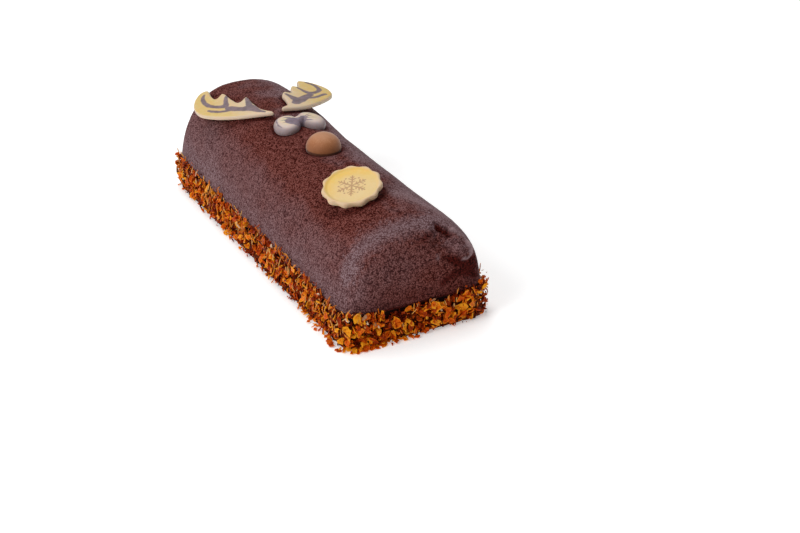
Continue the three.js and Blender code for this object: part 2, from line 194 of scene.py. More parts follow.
SLIVER = {
    "count": 900, "length": (2.8, 6.6), "aspect": (0.1, 0.26), "thickness": (0.3, 0.5), "corners": 6,
    "crumple": 0.16, "rise": (0.4, 1.1), "reach": (0.5, 2.3), "lean": (-0.1, 0.3),
    "swing": 0.5, "spin": (math.pi / 2, 0.6), "tone": (0.2, 1.05), "flank": 0.9,
}
CRUMB = {
    "count": 1300, "length": (0.9, 2.2), "aspect": (0.5, 1.0), "thickness": (0.3, 0.7), "corners": 5,
    "crumple": 0.2, "rise": (0.0, 1.0), "reach": (-0.6, 2.2), "lean": (0, 1.2),
    "swing": 1.2, "spin": (0, 2), "tone": (0, 0.9), "flank": 0.68,
}
NUT = {
    "count": 52, "length": (2.2, 4.6), "aspect": (0.4, 0.8), "thickness": (0.6, 1.1), "corners": 7,
    "crumple": 0.16, "rise": (0.6, 0.98), "reach": (1.0, 2.5), "lean": (-0.3, 0.5),
    "swing": 0.3, "spin": (0, 2), "tone": (0, 1), "flank": 0.6,
}
FLAKE_SEED = 41
FLAKE_CREASE = math.radians(24)
FOOT_SPACING = 0.4 * MM
FLOOR_GAP = 0.05 * MM
# Chips set deep in the band are darkened by painted shade.
DEEP_SHADE_REACH = (0.3, 2.2)
DEEP_SHADE = 0.42
CLUMP_TONE = 0.22
CLUMP_FEATURE = 11 * MM
BAND_TOP = 17 * MM
BAND_STRAY = 1.8 * MM
BAND_WAVE = 9 * MM
FLANK_RISE = 4.5 * MM
FLANK_EDGE = 6 * MM
FLANK_FADE = (-104 * MM, -70 * MM)
# The band climbs at its two front corners, and its chips are paler at the left one.
FRONT_CORNERS = [
    {"side": 1, "climb": 3.5 * MM, "reach": 18 * MM, "tone": 0},
    {"side": -1, "climb": 3.0 * MM, "reach": 16 * MM, "tone": 0.2},
]

# The moulded chocolate pieces.
GAP = 0.3 * MM
REST_SAMPLES = 12
ANTLER_THICKNESS = 2.6 * MM
ANTLER_EDGE = 1.0 * MM
ANTLER_POINTS = 190
ANTLER_SPACING = 0.42 * MM
ANTLER_STROKE_SWELL = 0.25
ANTLER_WAIST = 0.38
ANTLER_CROWN = 0.12 * MM
ANTLER_CROWN_REACH = 3.5 * MM
ANTLER_WARM = (0.2, 0.75)
ANTLER_SHORE = 2.4 * MM
PLATE_RINGS = (0.06, 0.2, 0.42, 0.72, 1.05)
LEFT_ANTLER = {
    "side": -1,
    "inner": (-7.2, 38.1),
    "droop": math.radians(19),
    "outline": [(0, 0), (3, 9.6), (3.6, 20.5), (3.4, 29.8), (8.6, 28), (10.1, 35.5), (11, 46.6),
                (16, 44.5), (16.6, 50.5), (15.6, 58.2), (19.6, 59.4), (24.6, 55.8), (28.1, 50.4),
                (30, 43.5), (29.4, 35.9), (24.9, 26.7), (16.9, 16), (8.1, 6.9)],
    "swirls": [
        [(19.1, 54.5, 0.4), (20.9, 52.6, 0.9), (22.2, 49.5, 1.0), (22.8, 45, 1.0), (22.3, 40.3, 1.05),
         (20.6, 36.5, 1.0), (18.4, 33.3, 1.2), (16.2, 31.6, 1.7)],
        [(11, 40.9, 0.6), (12.5, 38, 0.95), (14.1, 34.5, 1.15), (15.6, 30.8, 1.6)],
        [(24.7, 35.9, 0.4), (23.2, 32.3, 0.7), (21.1, 29, 0.7), (18.6, 26.4, 0.75), (15.7, 24.6, 1.2)],
        [(16, 28, 1.2), (15.1, 26, 2.0), (13.1, 22.2, 1.7), (10.9, 19.1, 1.6), (9.3, 17.8, 2.4),
         (7.6, 16.9, 2.9), (6.5, 14.6, 2.4), (5.8, 11.2, 1.6), (5.1, 8.1, 1.0), (3.2, 3.8, 0.2)],
        [(4, 27.4, 0.7), (4.4, 25.3, 1.05), (5.4, 21.9, 1.3), (6.4, 18.6, 1.7)],
    ],
}
RIGHT_ANTLER = {
    "side": 1,
    "inner": (-1.1, 42.6),
    "droop": math.radians(5),
    "outline": [(0, 0), (5.2, 4.1), (7.6, 11.5), (8.8, 19), (12.2, 23.4), (15.6, 21), (17.4, 26.4),
                (20.6, 31.4), (23.4, 29.6), (27.2, 38.2), (32.2, 35.2), (36.5, 27.8), (38.3, 19.7),
                (36.5, 12.1), (31.6, 7.4), (22.7, 2.1), (15.1, -0.9), (7.4, -1.6)],
    "swirls": [
        [(30.5, 34.1, 0.6), (31.9, 31, 0.8), (33, 27.6, 0.9), (32.9, 23.5, 0.9), (32.4, 20.3, 1.1)],
        [(22, 27.2, 0.4), (22.6, 23.3, 0.7), (23.2, 20.1, 1.1), (24.4, 17.1, 1.7), (26.9, 16.5, 1.4),
         (29.8, 17.6, 1.2), (32.4, 20, 1.1)],
        [(23.8, 14, 1.6), (21.3, 12.7, 2.0), (17.3, 9.6, 2.6), (13.9, 7.6, 3.4), (10.6, 4.4, 2.2)],
        [(11.2, 19.4, 0.5), (11.6, 16.9, 0.9), (12.2, 13.8, 1.4), (12.8, 10.5, 2.4)],
        [(21, 10.1, 1.6), (23.1, 9.4, 1.2), (25.5, 9.6, 0.95), (28.7, 11.3, 0.9), (32, 12.7, 1.1)],
    ],
}

# The eyes: two rounded ovals and the bridge between them.
EYE_THICKNESS = 3.9 * MM
EYE_SKIRT = 3.4 * MM
EYE_RING = 3 * MM
EYE_POWER = 2.7
EYE_VOXEL = 0.28 * MM
EYE_SMOOTHING = 4
EYE_ROWS = 26
EYE_COLUMNS = 72
EYE_SKIRT_TAPER = 0.94
EYE_LOBES = [
    {"centre": (-5.8, 25.4), "across": 7.2, "along": 9.6, "turn": -0.38, "droop": -0.08},
    {"centre": (2.0, 26.4), "across": 3.4, "along": 3.4, "turn": 0, "droop": 0},
    {"centre": (8.5, 25.6), "across": 6.2, "along": 9.8, "turn": 0.21, "droop": 0.1},
]
EYE_SWIRLS = [
    [(-5.2, 24.3, 2.0), (-4.3, 23, 3.4), (-2.6, 22.8, 4.0), (-1.0, 23.1, 3.2), (1.1, 23.6, 2.1),
     (2.8, 24.2, 1.6), (4.2, 26.8, 1.1)],
    [(-6.6, 28.9, 0.2), (-5.2, 28.7, 0.5), (-3.8, 27.2, 1.0)],
    [(-8.8, 26.6, 0.1), (-7.4, 26.2, 0.35), (-6.2, 24.9, 0.9)],
    [(-9.2, 23.4, 0.1), (-7.8, 23.2, 0.4), (-6.4, 22.5, 1.1)],
    [(-11.2, 19.6, 0.12), (-11.9, 23.4, 0.3), (-10.8, 28.2, 0.3), (-8.6, 31.6, 0.1)],
    [(2.8, 23.8, 1.0), (5, 25, 0.45), (7.3, 25.8, 0.32), (9.4, 25.7, 0.1)],
    [(2.7, 23.6, 0.9), (4.2, 23, 0.5), (5.6, 21.6, 0.35), (7.4, 20, 0.1)],
    [(2.8, 24.3, 0.8), (5.8, 26.8, 0.3), (8, 27.9, 0.22), (9.6, 28.9, 0.08)],
    [(2.8, 23.7, 0.8), (5.4, 23.9, 0.28), (8.3, 23.1, 0.2), (10.2, 22.4, 0.08)],
]

# The nose: a flattened dome.
NOSE_CENTRE = (-0.4 * MM, -7.8 * MM)
NOSE_RADIUS = 9.2 * MM
NOSE_HEIGHT = 8 * MM
NOSE_TUCK = math.radians(16)
NOSE_ROWS = 44
NOSE_COLUMNS = 120

# The plaque: a scalloped disc with a raised rim and a snowflake printed in its middle.
PLAQUE_CENTRE = (-10.8 * MM, -61.2 * MM)
PLAQUE_RADIUS = 15.25 * MM
PLAQUE_SCALLOPS = 11
PLAQUE_SCALLOP_DEPTH = 0.55 * MM
PLAQUE_FIELD_RADIUS = 12.9 * MM
PLAQUE_FIELD_THICKNESS = 2.3 * MM
PLAQUE_RIM_THICKNESS = 3.1 * MM
PLAQUE_RIM_SLOPE = 2.4 * MM
PLAQUE_EDGE = 1.0 * MM
PLAQUE_WOBBLE = 0.25 * MM
PLAQUE_UNEVEN = 0.08 * MM
PLAQUE_ROW_POWER = 1.25
PLAQUE_ROWS = 74
PLAQUE_COLUMNS = 264
PLAQUE_ROLL = math.radians(-13)
PLAQUE_PITCH = math.radians(9)
PLAQUE_SLOPES = (-math.tan(PLAQUE_ROLL), math.tan(PLAQUE_PITCH))
# The rows under its edge: how far in and how high.
PLAQUE_SIDE = [(0.12 * MM, 0.6 * MM), (0.5 * MM, 0)]
# The snowflake, in millimetres: its branches by place and length, and a dot by distance and radius.
SNOWFLAKE_REACH = 7.6
SNOWFLAKE_STROKE = 0.42
SNOWFLAKE_BRANCHES = [(2.6, 1.5), (4.4, 2.0), (6.1, 1.1)]
SNOWFLAKE_DOT = (6.4, 0.5)

# How far a piece that is set into the coat reaches below the log's own surface.
CONTACT_SINK = 1.4 * MM

# Colours, as stops of a ramp or one by one.
DROPLET = 0.78 * MM
GRAIN = [(0.34, (0.024, 0.0022, 0.0013)), (0.5, (0.088, 0.0165, 0.0115)), (0.67, (0.205, 0.07, 0.059))]
# The grey stops serve frost and painted sheen, the near-black ones bare chocolate and painted shade, and the
# pale one is a painted highlight.
FROST_AND_SHEEN = [(0.32, (0.076, 0.031, 0.034)), (0.5, (0.152, 0.083, 0.088)), (0.7, (0.27, 0.178, 0.192))]
UNCOVERED_AND_SHADE = [(0.38, (0.012, 0.0015, 0.001)), (0.68, (0.085, 0.011, 0.008))]
PAINTED_HIGHLIGHT = (0.37, 0.25, 0.26)
CRUSHED = [(0.35, (0.02, 0.003, 0.001)), (0.5, (0.13, 0.017, 0.001)), (0.7, (0.34, 0.06, 0.003))]
# Painted shade in the crevice under the coat.
CREVICE_SHADE = (0.012, 0.002, 0.001)
AMBER_STOPS = [
    (0.0, (0.06, 0.003, 0.0002)),
    (0.3, (0.23, 0.016, 0.0004)),
    (0.55, (0.5, 0.055, 0.001)),
    (0.8, (0.74, 0.148, 0.003)),
    (1.0, (0.86, 0.34, 0.015)),
]
GOLD_STOPS = [
    (0.0, (0.18, 0.016, 0.001)),
    (0.35, (0.48, 0.075, 0.002)),
    (0.7, (0.68, 0.21, 0.016)),
    (1.0, (0.74, 0.42, 0.14)),
]
NUT_STOPS = [(0.1, (0.4, 0.17, 0.07)), (0.5, (0.56, 0.33, 0.19)), (0.95, (0.74, 0.54, 0.37))]
NOSE_STOPS = [(0.0, (0.3, 0.105, 0.035)), (0.45, (0.36, 0.135, 0.05)), (1.0, (0.46, 0.21, 0.1))]
# Painted shade round the nose's foot.
NOSE_FOOT_SHADE = (0.06, 0.015, 0.008)
IVORY_MOTTLE = (0.74, 0.58, 0.38)
# The antlers' edge colour is a painted highlight along their rounded edges.
ANTLER_COLOURS = {
    "pale": (0.66, 0.5, 0.33), "warm": (0.66, 0.46, 0.15), "dark": (0.16, 0.115, 0.125),
    "edge_light_and_shade": (0.68, 0.53, 0.4), "shore_height": 0.4,
}
# The eyes' edge colour is painted shade low round their edges.
EYE_COLOURS = {
    "pale": (0.6, 0.475, 0.43), "warm": (0.71, 0.58, 0.385), "dark": (0.165, 0.125, 0.155),
    "edge_light_and_shade": (0.27, 0.205, 0.22), "shore_height": 0.7,
}
PLAQUE_COLOURS = {
    "field": (0.74, 0.53, 0.235), "warm": (0.77, 0.49, 0.095), "mottle": (0.78, 0.6, 0.34),
    "rim": (0.69, 0.49, 0.3), "print": (0.36, 0.16, 0.07),
}

# The camera.
CAMERA_PLACE = (-308.1 * MM, -655.1 * MM, 366.0 * MM)
CAMERA_AZIMUTH = math.radians(-28.6)
CAMERA_ELEVATION = math.radians(27.75)
CAMERA_ROLL = math.radians(0.18)
CAMERA_LENS = 67.54
CAMERA_SENSOR = 36

# The light: an even white studio with two softboxes over a floor that glows like an overexposed sweep.
WORLD_STRENGTH = 0.33
FLOOR_GLOW = 0.3
FLOOR_REACH = 3.0
LIGHT_TARGET = (0, 0, 0.03)
SOFTBOXES = [
    ("softbox_left", (-1.3, -0.3, 1.1), 0.8, 13),
    ("softbox_top", (0.0, 0.5, 1.6), 0.9, 12),
]


# ---------------------------------------------------------------- the log's form


def superellipse(share, power):
    """The share of its full size that a superellipse has at a share of its half length."""
    return np.maximum(0, 1 - np.minimum(1, np.abs(share)) ** power) ** (1 / power)


def ridge_height(share):
    power = np.where(share < 0, FRONT_SHOULDER_POWER, BACK_SHOULDER_POWER)
    full = FRONT_HEIGHT + (BACK_HEIGHT - FRONT_HEIGHT) * (share + 1) / 2
    return full * superellipse(share, power)


def log_top(x, y):
    """Height of the log's surface over a point of the floor."""
    share = 2 * np.asarray(y) / LOG_LENGTH
    half_width = np.maximum(LOG_WIDTH / 2 * superellipse(share, PLAN_POWER), 1e-9)
    return ridge_height(share) * superellipse(np.asarray(x) / half_width, SECTION_POWER)


def fullness(points):
    """Under 1 inside the log, 1 on its surface and over 1 outside."""
    share = 2 * points[..., 1] / LOG_LENGTH
    half_width = np.maximum(LOG_WIDTH / 2 * superellipse(share, PLAN_POWER), 1e-9)
    ridge = np.maximum(ridge_height(share), 1e-9)
    across = (np.abs(points[..., 0]) / half_width) ** SECTION_POWER
    return across + (np.abs(points[..., 2]) / ridge) ** SECTION_POWER


def cast_to_log(origins, directions):
    """The points where rays that start inside the log leave it."""
    near = np.zeros(directions.shape[:-1])
    far = np.full_like(near, LOG_LENGTH)
    for _ in range(CAST_STEPS):
        middle = (near + far) / 2
        outside = fullness(origins + directions * middle[..., None]) > 1
        far = np.where(outside, middle, far)
        near = np.where(outside, near, middle)
    return origins + directions * near[..., None]


def outward(points):
    """The log's outward normals at points of its surface."""
    slope = np.zeros_like(points)
    for axis in range(3):
        step = np.zeros(3)
        step[axis] = SLOPE_STEP
        slope[..., axis] = fullness(points + step) - fullness(points - step)
    return slope / np.linalg.norm(slope, axis=-1, keepdims=True)


def plan_ring(spacing):
    """Points evenly spaced round the log's plan, each with the spine point that it looks out from."""
    half_x, half_y = LOG_WIDTH / 2, LOG_LENGTH / 2
    corners = [(half_x, -half_y), (half_x, half_y), (-half_x, half_y), (-half_x, -half_y)]
    ring = []
    for start, end in zip(corners, corners[1:] + corners[:1]):
        steps = max(1, round(math.dist(start, end) / spacing))
        shares = (np.arange(steps) / steps)[:, None]
        ring.append(np.array(start) * (1 - shares) + np.array(end) * shares)
    ring = np.concatenate(ring)
    spine = np.zeros_like(ring)
    spine[:, 1] = np.clip(ring[:, 1], -(half_y - half_x), half_y - half_x)
    return ring, spine


def value_noise(points, feature, shift=0.0):
    """Smooth noise from about -1 to 1, with lumps as large as the feature."""
    scaled = points.reshape(-1, 3) / feature + shift
    return np.array([noise.noise(Vector(p)) for p in scaled]).reshape(points.shape[:-1])


def plan_noise(flat, feature, shift=0.0):
    """The same noise at points of a plan."""
    return value_noise(np.concatenate([flat, np.zeros(flat.shape[:-1] + (1,))], axis=-1), feature, shift)


def smooth_share(value, low, high):
    share = np.clip((value - low) / (high - low), 0, 1)
    return share * share * (3 - 2 * share)


# ---------------------------------------------------------------- meshes


def angles_round(count):
    return 2 * np.pi * np.arange(count) / count


def circle(count):
    """Ways evenly spaced round a circle."""
    return np.column_stack([np.cos(angles_round(count)), np.sin(angles_round(count))])


def stroke_distance(points, stroke):
    """Distance from points to a stroke: a line through places, each with a radius after it if it has one."""
    stroke = np.array(stroke, float)
    size = points.shape[-1]
    nearest = np.full(points.shape[:-1], np.inf)
    for start, end in zip(stroke, stroke[1:] if len(stroke) > 1 else stroke):
        way = (end - start)[:size]
        share = np.clip((points - start[:size]) @ way / ((way @ way) or 1), 0, 1)
        away = np.linalg.norm(points - start[:size] - share[..., None] * way, axis=-1)
        if len(start) > size:
            away -= start[size] + (end[size] - start[size]) * share
        nearest = np.minimum(nearest, away)
    return nearest


def moved(points, place):
    return points @ np.array(place.to_3x3()).T + np.array(place.translation)


def add_attributes(mesh, attributes):
    for key, values in attributes.items():
        layer = mesh.attributes.new(key, "FLOAT", "POINT")
        layer.data.foreach_set("value", np.asarray(values, np.float32).ravel())


def closed(outline):
    return np.concatenate([outline, outline[:1]])


def mesh_piece(name, points, faces, material, attributes=None, merge=None, crease=None):
    """Makes an object of points and faces, and merges points that are closer than a distance."""
    mesh = bpy.data.meshes.new(name)
    mesh.from_pydata(np.asarray(points).tolist(), [], faces)
    add_attributes(mesh, attributes or {})
    mesh.validate()
    if merge is not None:
        merge_close(mesh, merge)
    mesh.shade_smooth()
    if crease is not None:
        mesh.set_sharp_from_angle(angle=crease)
    mesh.materials.append(material)
    piece = bpy.data.objects.new(name, mesh)
    bpy.context.scene.collection.objects.link(piece)
    return piece


def finish_piece(piece, node):
    """The piece rides on the cake's one body and replaces a node."""
    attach(piece, "root")
    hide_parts(node)


def ring_faces(rows, columns, base=False):
    """Faces between the rows of a grid that closes round its columns, with a base under it if asked."""
    faces = []
    for row in range(rows - 1):
        for column in range(columns):
            after = (column + 1) % columns
            low, high = row * columns, (row + 1) * columns
            faces.append((low + column, low + after, high + after, high + column))
    if base:
        faces.append(tuple(reversed(range(columns))))
    return faces


def merge_close(mesh, distance):
    work = bmesh.new()
    work.from_mesh(mesh)
    bmesh.ops.remove_doubles(work, verts=work.verts, dist=distance)
    bmesh.ops.recalc_face_normals(work, faces=work.faces)
    work.to_mesh(mesh)
    work.free()


# ---------------------------------------------------------------- the coat


def dent_depth(points, normals):
    """How far the scoops of the knock push the surface in."""
    total = np.zeros(points.shape[:-1])
    for scoop in DENT_SCOOPS:
        turn = Matrix.Rotation(scoop["pitch"], 3, "X") @ Matrix.Rotation(scoop["turn"], 3, "Y")
        to_unit = np.diag(1 / (np.array(scoop["radii"]) * MM)) @ np.array(turn).T
        place = (points - np.array(scoop["centre"]) * MM) @ to_unit.T
        way = -normals @ to_unit.T
        square = (way * way).sum(-1)
        half = (place * way).sum(-1)
        rest = (place * place).sum(-1) - 1
        depth = (-half + np.sqrt(np.maximum(0, half * half - square * rest))) / square
        depth = np.where(rest < 0, depth, 0) * smooth_share(-rest, 0, DENT_SOFTNESS)
        total = np.maximum(total, depth)
    return total


def marks_on(points):
    """What the marks add up to at points of the coat."""
    ragged = 1 + MARK_RAGGED * value_noise(points, MARK_WAVE, 7)
    total = {key: np.zeros(points.shape[:-1]) for key in ("depth", "frost_and_sheen", "bare", "painted_highlight", "rough")}
    for width, effects, line in COAT_MARKS:
        away = stroke_distance(points, np.array(line) * MM) / (width * MM)
        strength = np.exp(-(away * ragged) ** 2)
        for key, value in effects.items():
            total[key] += value * strength
    return total


def shoulder_push(points):
    places, pushes = np.array(SHOULDER_PUSH).T * MM
    push = np.interp(points[..., 1], places, pushes)
    push = push * smooth_share(points[..., 0], *SHOULDER_ACROSS)
    return push * smooth_share(points[..., 2], *SHOULDER_RISE)


def oval_distance(flat, lobe):
    """About how far points of the plan are outside one lobe of the eyes: below 0 inside it."""
    turn = np.array(Matrix.Rotation(-lobe["turn"], 2))
    local = (flat / MM - lobe["centre"]) @ turn.T
    return (np.hypot(local[..., 0] / lobe["across"], local[..., 1] / lobe["along"]) - 1) * lobe["across"] * MM


def antler_plan(antler, count):
    """An antler's outline in the log's plan."""
    outline = smooth_outline(np.array(antler["outline"]) * MM, count)
    side = antler["side"]
    return np.array(antler["inner"]) * MM + outline * [side * math.cos(antler["droop"]), 1]


def flat_pieces(count):
    """The flat moulded pieces as they lie: outline in plan, centre, height there, and the two slopes."""
    plans = [(antler_plan(antler, count), np.array(antler["inner"]) * MM,
              (-antler["side"] * math.tan(antler["droop"]), 0)) for antler in (LEFT_ANTLER, RIGHT_ANTLER)]
    plans.append((PLAQUE_CENTRE + PLAQUE_RADIUS * circle(count), np.array(PLAQUE_CENTRE), PLAQUE_SLOPES))
    return [(outline, centre, rest_height(outline, centre, *slopes), slopes)
            for outline, centre, slopes in plans]


def seats(points):
    """What the moulded pieces do to the coat: the painted shade round them, how far pressed in and how far
    raised.
    """
    flat = points[..., :2]
    above = points[..., 2] > FRONT_HEIGHT / 2
    away = np.linalg.norm(flat - NOSE_CENTRE, axis=-1) - NOSE_RADIUS
    for lobe in EYE_LOBES:
        away = np.minimum(away, oval_distance(flat, lobe))
    pressed = np.exp(-(np.maximum(away, 0) / SEAT_WIDTH) ** 2) * above
    # Painted shade round the nose and the eyes, and along the outlines of the flat pieces.
    dark, lift = pressed.copy(), np.zeros_like(pressed)
    for outline, centre, height, slopes in flat_pieces(SEAT_SAMPLES):
        away = stroke_distance(flat, closed(outline))
        near = np.exp(-(away / SEAT_WIDTH) ** 2) * (1 - smooth_share(np.abs(flat[..., 0]), *SEAT_REACH))
        dark = np.maximum(dark, near * above)
        inside = inside_outline(flat.reshape(-1, 2), outline).reshape(away.shape)
        gap = height + (flat - centre) @ np.array(slopes) - points[..., 2]
        share = smooth_share(away * inside, *BOND_MARGIN) * (1 - smooth_share(gap, *BOND_GAP)) * above
        lift = np.maximum(lift, share * (gap + BOND_SINK))
    return dark, pressed, lift


def coat_surface():
    """The coat's outer face: rows from its lower edge up to the ridge, columns round the plan."""
    ring, spine = plan_ring(COAT_SPACING)
    heights = EDGE_HEIGHT + EDGE_STRAY * plan_noise(ring, EDGE_WAVE, 3)
    wall_rows = round((FRONT_HEIGHT - EDGE_HEIGHT) / COAT_SPACING)
    top_rows = round(LOG_WIDTH / 2 / COAT_SPACING)
    aim = [(1, i / wall_rows) for i in range(wall_rows)]
    aim += [(1 - i / top_rows, 1) for i in range(top_rows + 1)]
    rows = []
    for sideways, upwards in aim:
        way = np.column_stack([(ring - spine) * sideways, (FRONT_HEIGHT - heights) * upwards])
        rows.append(way / np.linalg.norm(way, axis=1, keepdims=True))
    directions = np.array(rows)
    origins = np.column_stack([spine, heights])
    return cast_to_log(np.broadcast_to(origins, directions.shape), directions)


def roll_under(edge, normals):
    """Rows that roll from the coat's lower edge down and inwards, the innermost first."""
    flat = normals.copy()
    flat[:, 2] = 0
    flat /= np.linalg.norm(flat, axis=1, keepdims=True)
    rows = []
    for step in range(1, ROLL_STEPS + 1):
        angle = ROLL_ANGLE * step / ROLL_STEPS
        row = edge - flat * ROLL_RADIUS * (1 - math.cos(angle))
        row[:, 2] -= ROLL_RADIUS * math.sin(angle)
        rows.append(row)
    rows.append(rows[-1] - flat * ROLL_INNER)
    return rows[::-1]


def frost_and_sheen_share(points, normals):
    """Where the coat is grey: frosted on its left flank, round its corners, on the front (most on its left)
    and in clouds, with painted sheen on its right.
    """
    cloud = value_noise(points, FROST_WAVE, 11) + 0.5 * value_noise(points, FROST_WAVE / 3, 13)
    left = smooth_share(-normals[..., 0], *FROST_LEFT_RANGE)
    # Painted sheen: a grey cast over the coat's right side, strongest where the surface turns away to the
    # right.
    right = smooth_share(normals[..., 0] + 0.2 * cloud, *SHEEN_RIGHT_RANGE)
    low = smooth_share(-points[..., 2], *FROST_LOW_RANGE)
    far = smooth_share(points[..., 1], *FROST_FAR_RANGE)
    face = smooth_share(-normals[..., 1], *FACE_RANGE)
    face_left = smooth_share(-points[..., 0], *FROST_FACE_RANGE)
    corner = smooth_share(np.abs(points[..., 0]) + 3 * MM * cloud, *FROST_CORNER_RANGE)
    corner = corner * smooth_share(np.abs(normals[..., 1]), *FACE_RANGE)
    sides = left * (0.55 + 0.35 * low) + right * (1 - face) + 0.4 * corner
    return sides + 0.2 * far + face * (0.1 + 0.3 * face_left) + 0.16 * cloud - 0.1


def bare_share(points, normals):
    """Where the coat is darker: along the front's lower edge, and with painted shade on the front's right."""
    face = smooth_share(-normals[..., 1], *DARK_FACE_RANGE)
    low = smooth_share(-points[..., 2], *DARK_LOW_RANGE)
    # Painted shade on the front's right, which faces away from the light.
    right = smooth_share(points[..., 0], *SHADE_RIGHT_RANGE)
    return face * (0.45 * low + 0.08 * right)


def coat_piece(material):
    form = coat_surface()
    normals = outward(form)
    marks = marks_on(form)
    # The first of these is painted shade round the moulded pieces.
    dark, pressed, lift = seats(form)
    depth = dent_depth(form, normals) - shoulder_push(form) + SEAT_DEPTH * pressed
    depth += (marks["depth"] + marks["rough"] * value_noise(form, ROUGH_FEATURE, 19)) * MM
    for wave in WAVES:
        depth -= wave["height"] * value_noise(form, wave["feature"], wave["feature"] / MM)
    surface = form - normals * depth[..., None]
    surface[..., 2] += lift
    under = roll_under(surface[0], normals[0])
    rows = np.concatenate([under, surface])
    # The grey cast is frost together with painted sheen, both here and in the marks.
    frost_and_sheen = np.maximum(frost_and_sheen_share(form, normals), marks["frost_and_sheen"])
    # The dark cast: darker along the front's lower edge, bare chocolate and painted shade in the pits, and
    # painted shade on the front's right and round the moulded pieces.
    bare = np.maximum.reduce([bare_share(form, normals), marks["bare"], dark])
    attributes = {}
    # The rows rolled under the coat's lower edge are fully dark: bare chocolate with painted shade.
    for key, share, below in (("frost_and_sheen", frost_and_sheen, 0), ("bare", bare, 1), ("painted_highlight", marks["painted_highlight"], 0)):
        hidden = np.full((len(under), rows.shape[1]), below)
        attributes[key] = np.concatenate([hidden, np.clip(share, 0, 1)])
    faces = ring_faces(*rows.shape[:2], base=True)
    piece = mesh_piece("velvet_coat", rows.reshape(-1, 3), faces, material, attributes, 0.01 * MM)
    finish_piece(piece, "log")


# ---------------------------------------------------------------- the foot of the log


def foot_path(grow, spacing):
    """Points evenly spaced round the foot, with the ways that they face: a round-cornered rectangle."""
    radius = FOOT_CORNER_RADIUS + grow
    inner_x, inner_y = LOG_WIDTH / 2 - FOOT_CORNER_RADIUS, LOG_LENGTH / 2 - FOOT_CORNER_RADIUS
    centres = np.array([(inner_x, -inner_y), (inner_x, inner_y), (-inner_x, inner_y), (-inner_x, -inner_y)])
    points, ways = [], []
    for index, centre in enumerate(centres):
        first = math.radians(-90 + 90 * index)
        arc_steps = max(2, round(radius * math.pi / 2 / spacing))
        for step in range(arc_steps + 1):
            angle = first + math.pi / 2 * step / arc_steps
            way = np.array([math.cos(angle), math.sin(angle)])
            points.append(centre + radius * way)
            ways.append(way)
        start, end = points[-1], centres[(index + 1) % 4] + radius * way
        side_steps = round(math.dist(start, end) / spacing)
        for step in range(1, side_steps):
            points.append(start + (end - start) * step / side_steps)
            ways.append(way)
    return np.array(points), np.array(ways)


def bed_piece(material):
    """The crushed bed: a lumpy wall from the floor up into the coat."""
    points, ways = foot_path(-BED_INSET, BED_SPACING)
    columns = len(points)
    rows = []
    for share in np.arange(BED_ROWS + 1) / BED_ROWS:
        flare = BED_FLARE * smooth_share(-share, -0.5, 0)
        height = (EDGE_HEIGHT - ROLL_RADIUS / 2) * share
        rows.append(np.column_stack([points + ways * flare, np.full(columns, height)]))
    rows = np.array(rows)
    lumps = value_noise(rows, BED_WAVE, 5) + 0.5 * value_noise(rows, BED_WAVE / 2, 9)
    rows[..., :2] += ways * (BED_RELIEF * lumps)[..., None]
    faces = ring_faces(BED_ROWS + 1, columns, base=True)
    faces.append(tuple(BED_ROWS * columns + i for i in range(columns)))
    # Painted shade darkens the bed's upper rows, under the coat's edge.
    depth = np.concatenate([np.zeros(2), smooth_share(np.arange(BED_ROWS - 1) / (BED_ROWS - 2), *BED_SHADE_RANGE)])
    attributes = {"crevice_shade": np.repeat(depth, columns)}
    piece = mesh_piece("flake_bed", rows.reshape(-1, 3), faces, material, attributes)
    finish_piece(piece, "log")


def flake_faces(corners):
    """Faces of a chip whose two sides each have an outer ring, an inner ring and a centre."""
    top, bottom, inner_top, inner_bottom = (corners * i for i in range(4))
    centre_top, centre_bottom = 4 * corners, 4 * corners + 1
    faces = []
    for i in range(corners):
        j = (i + 1) % corners
        faces.append((top + i, top + j, inner_top + j, inner_top + i))
        faces.append((inner_top + i, inner_top + j, centre_top))
        faces.append((bottom + j, bottom + i, inner_bottom + i, inner_bottom + j))
        faces.append((inner_bottom + j, inner_bottom + i, centre_bottom))
        faces.append((bottom + i, bottom + j, top + j, top + i))
    return faces


def flake_shape(kind, random):
    """The points of one chip round its middle, and how near its edge each point is."""
    corners = kind["corners"]
    length = random.uniform(*kind["length"]) * MM
    width = length * random.uniform(*kind["aspect"])
    thickness = random.uniform(*kind["thickness"]) * MM
    angles = 2 * np.pi * (np.arange(corners) + random.uniform(-0.42, 0.42, corners)) / corners
    reach = random.uniform(0.34, 1.0, corners) / 2
    outline = np.column_stack([length * reach * np.cos(angles), width * reach * np.sin(angles)])
    inner = outline * random.uniform(0.42, 0.62, (corners, 1))
    flat = np.concatenate([outline, inner, np.zeros((1, 2))])
    bend, twist = random.uniform(-1, 1, 2) * kind["crumple"]
    along, over = flat[:, 0] / (length / 2), flat[:, 1] / (width / 2)
    lift = bend * along ** 2 + twist * along * over
    lift += kind["crumple"] * 0.45 * random.uniform(-1, 1, len(flat))
    lift *= math.sqrt(length * width) / 2
    edge = slice(0, corners)
    middle = slice(corners, 2 * corners)
    half = np.full(len(flat), thickness / 2)
    half[edge] *= 0.6
    top = np.column_stack([flat, lift + half])
    bottom = np.column_stack([flat, lift - half])
    points = np.concatenate([top[edge], bottom[edge], top[middle], bottom[middle], top[-1:], bottom[-1:]])
    rim = np.concatenate([np.ones(2 * corners), np.full(2 * corners, 0.35), np.zeros(2)])
    return points, rim


def corner_share(points, key):
    """What the two front corners add to the band of flakes at points of the foot."""
    total = np.zeros(len(points))
    for corner in FRONT_CORNERS:
        away = np.hypot(points[:, 0] - corner["side"] * LOG_WIDTH / 2, points[:, 1] + LOG_LENGTH / 2)
        total += corner[key] * np.exp(-(away / corner["reach"]) ** 2)
    return total


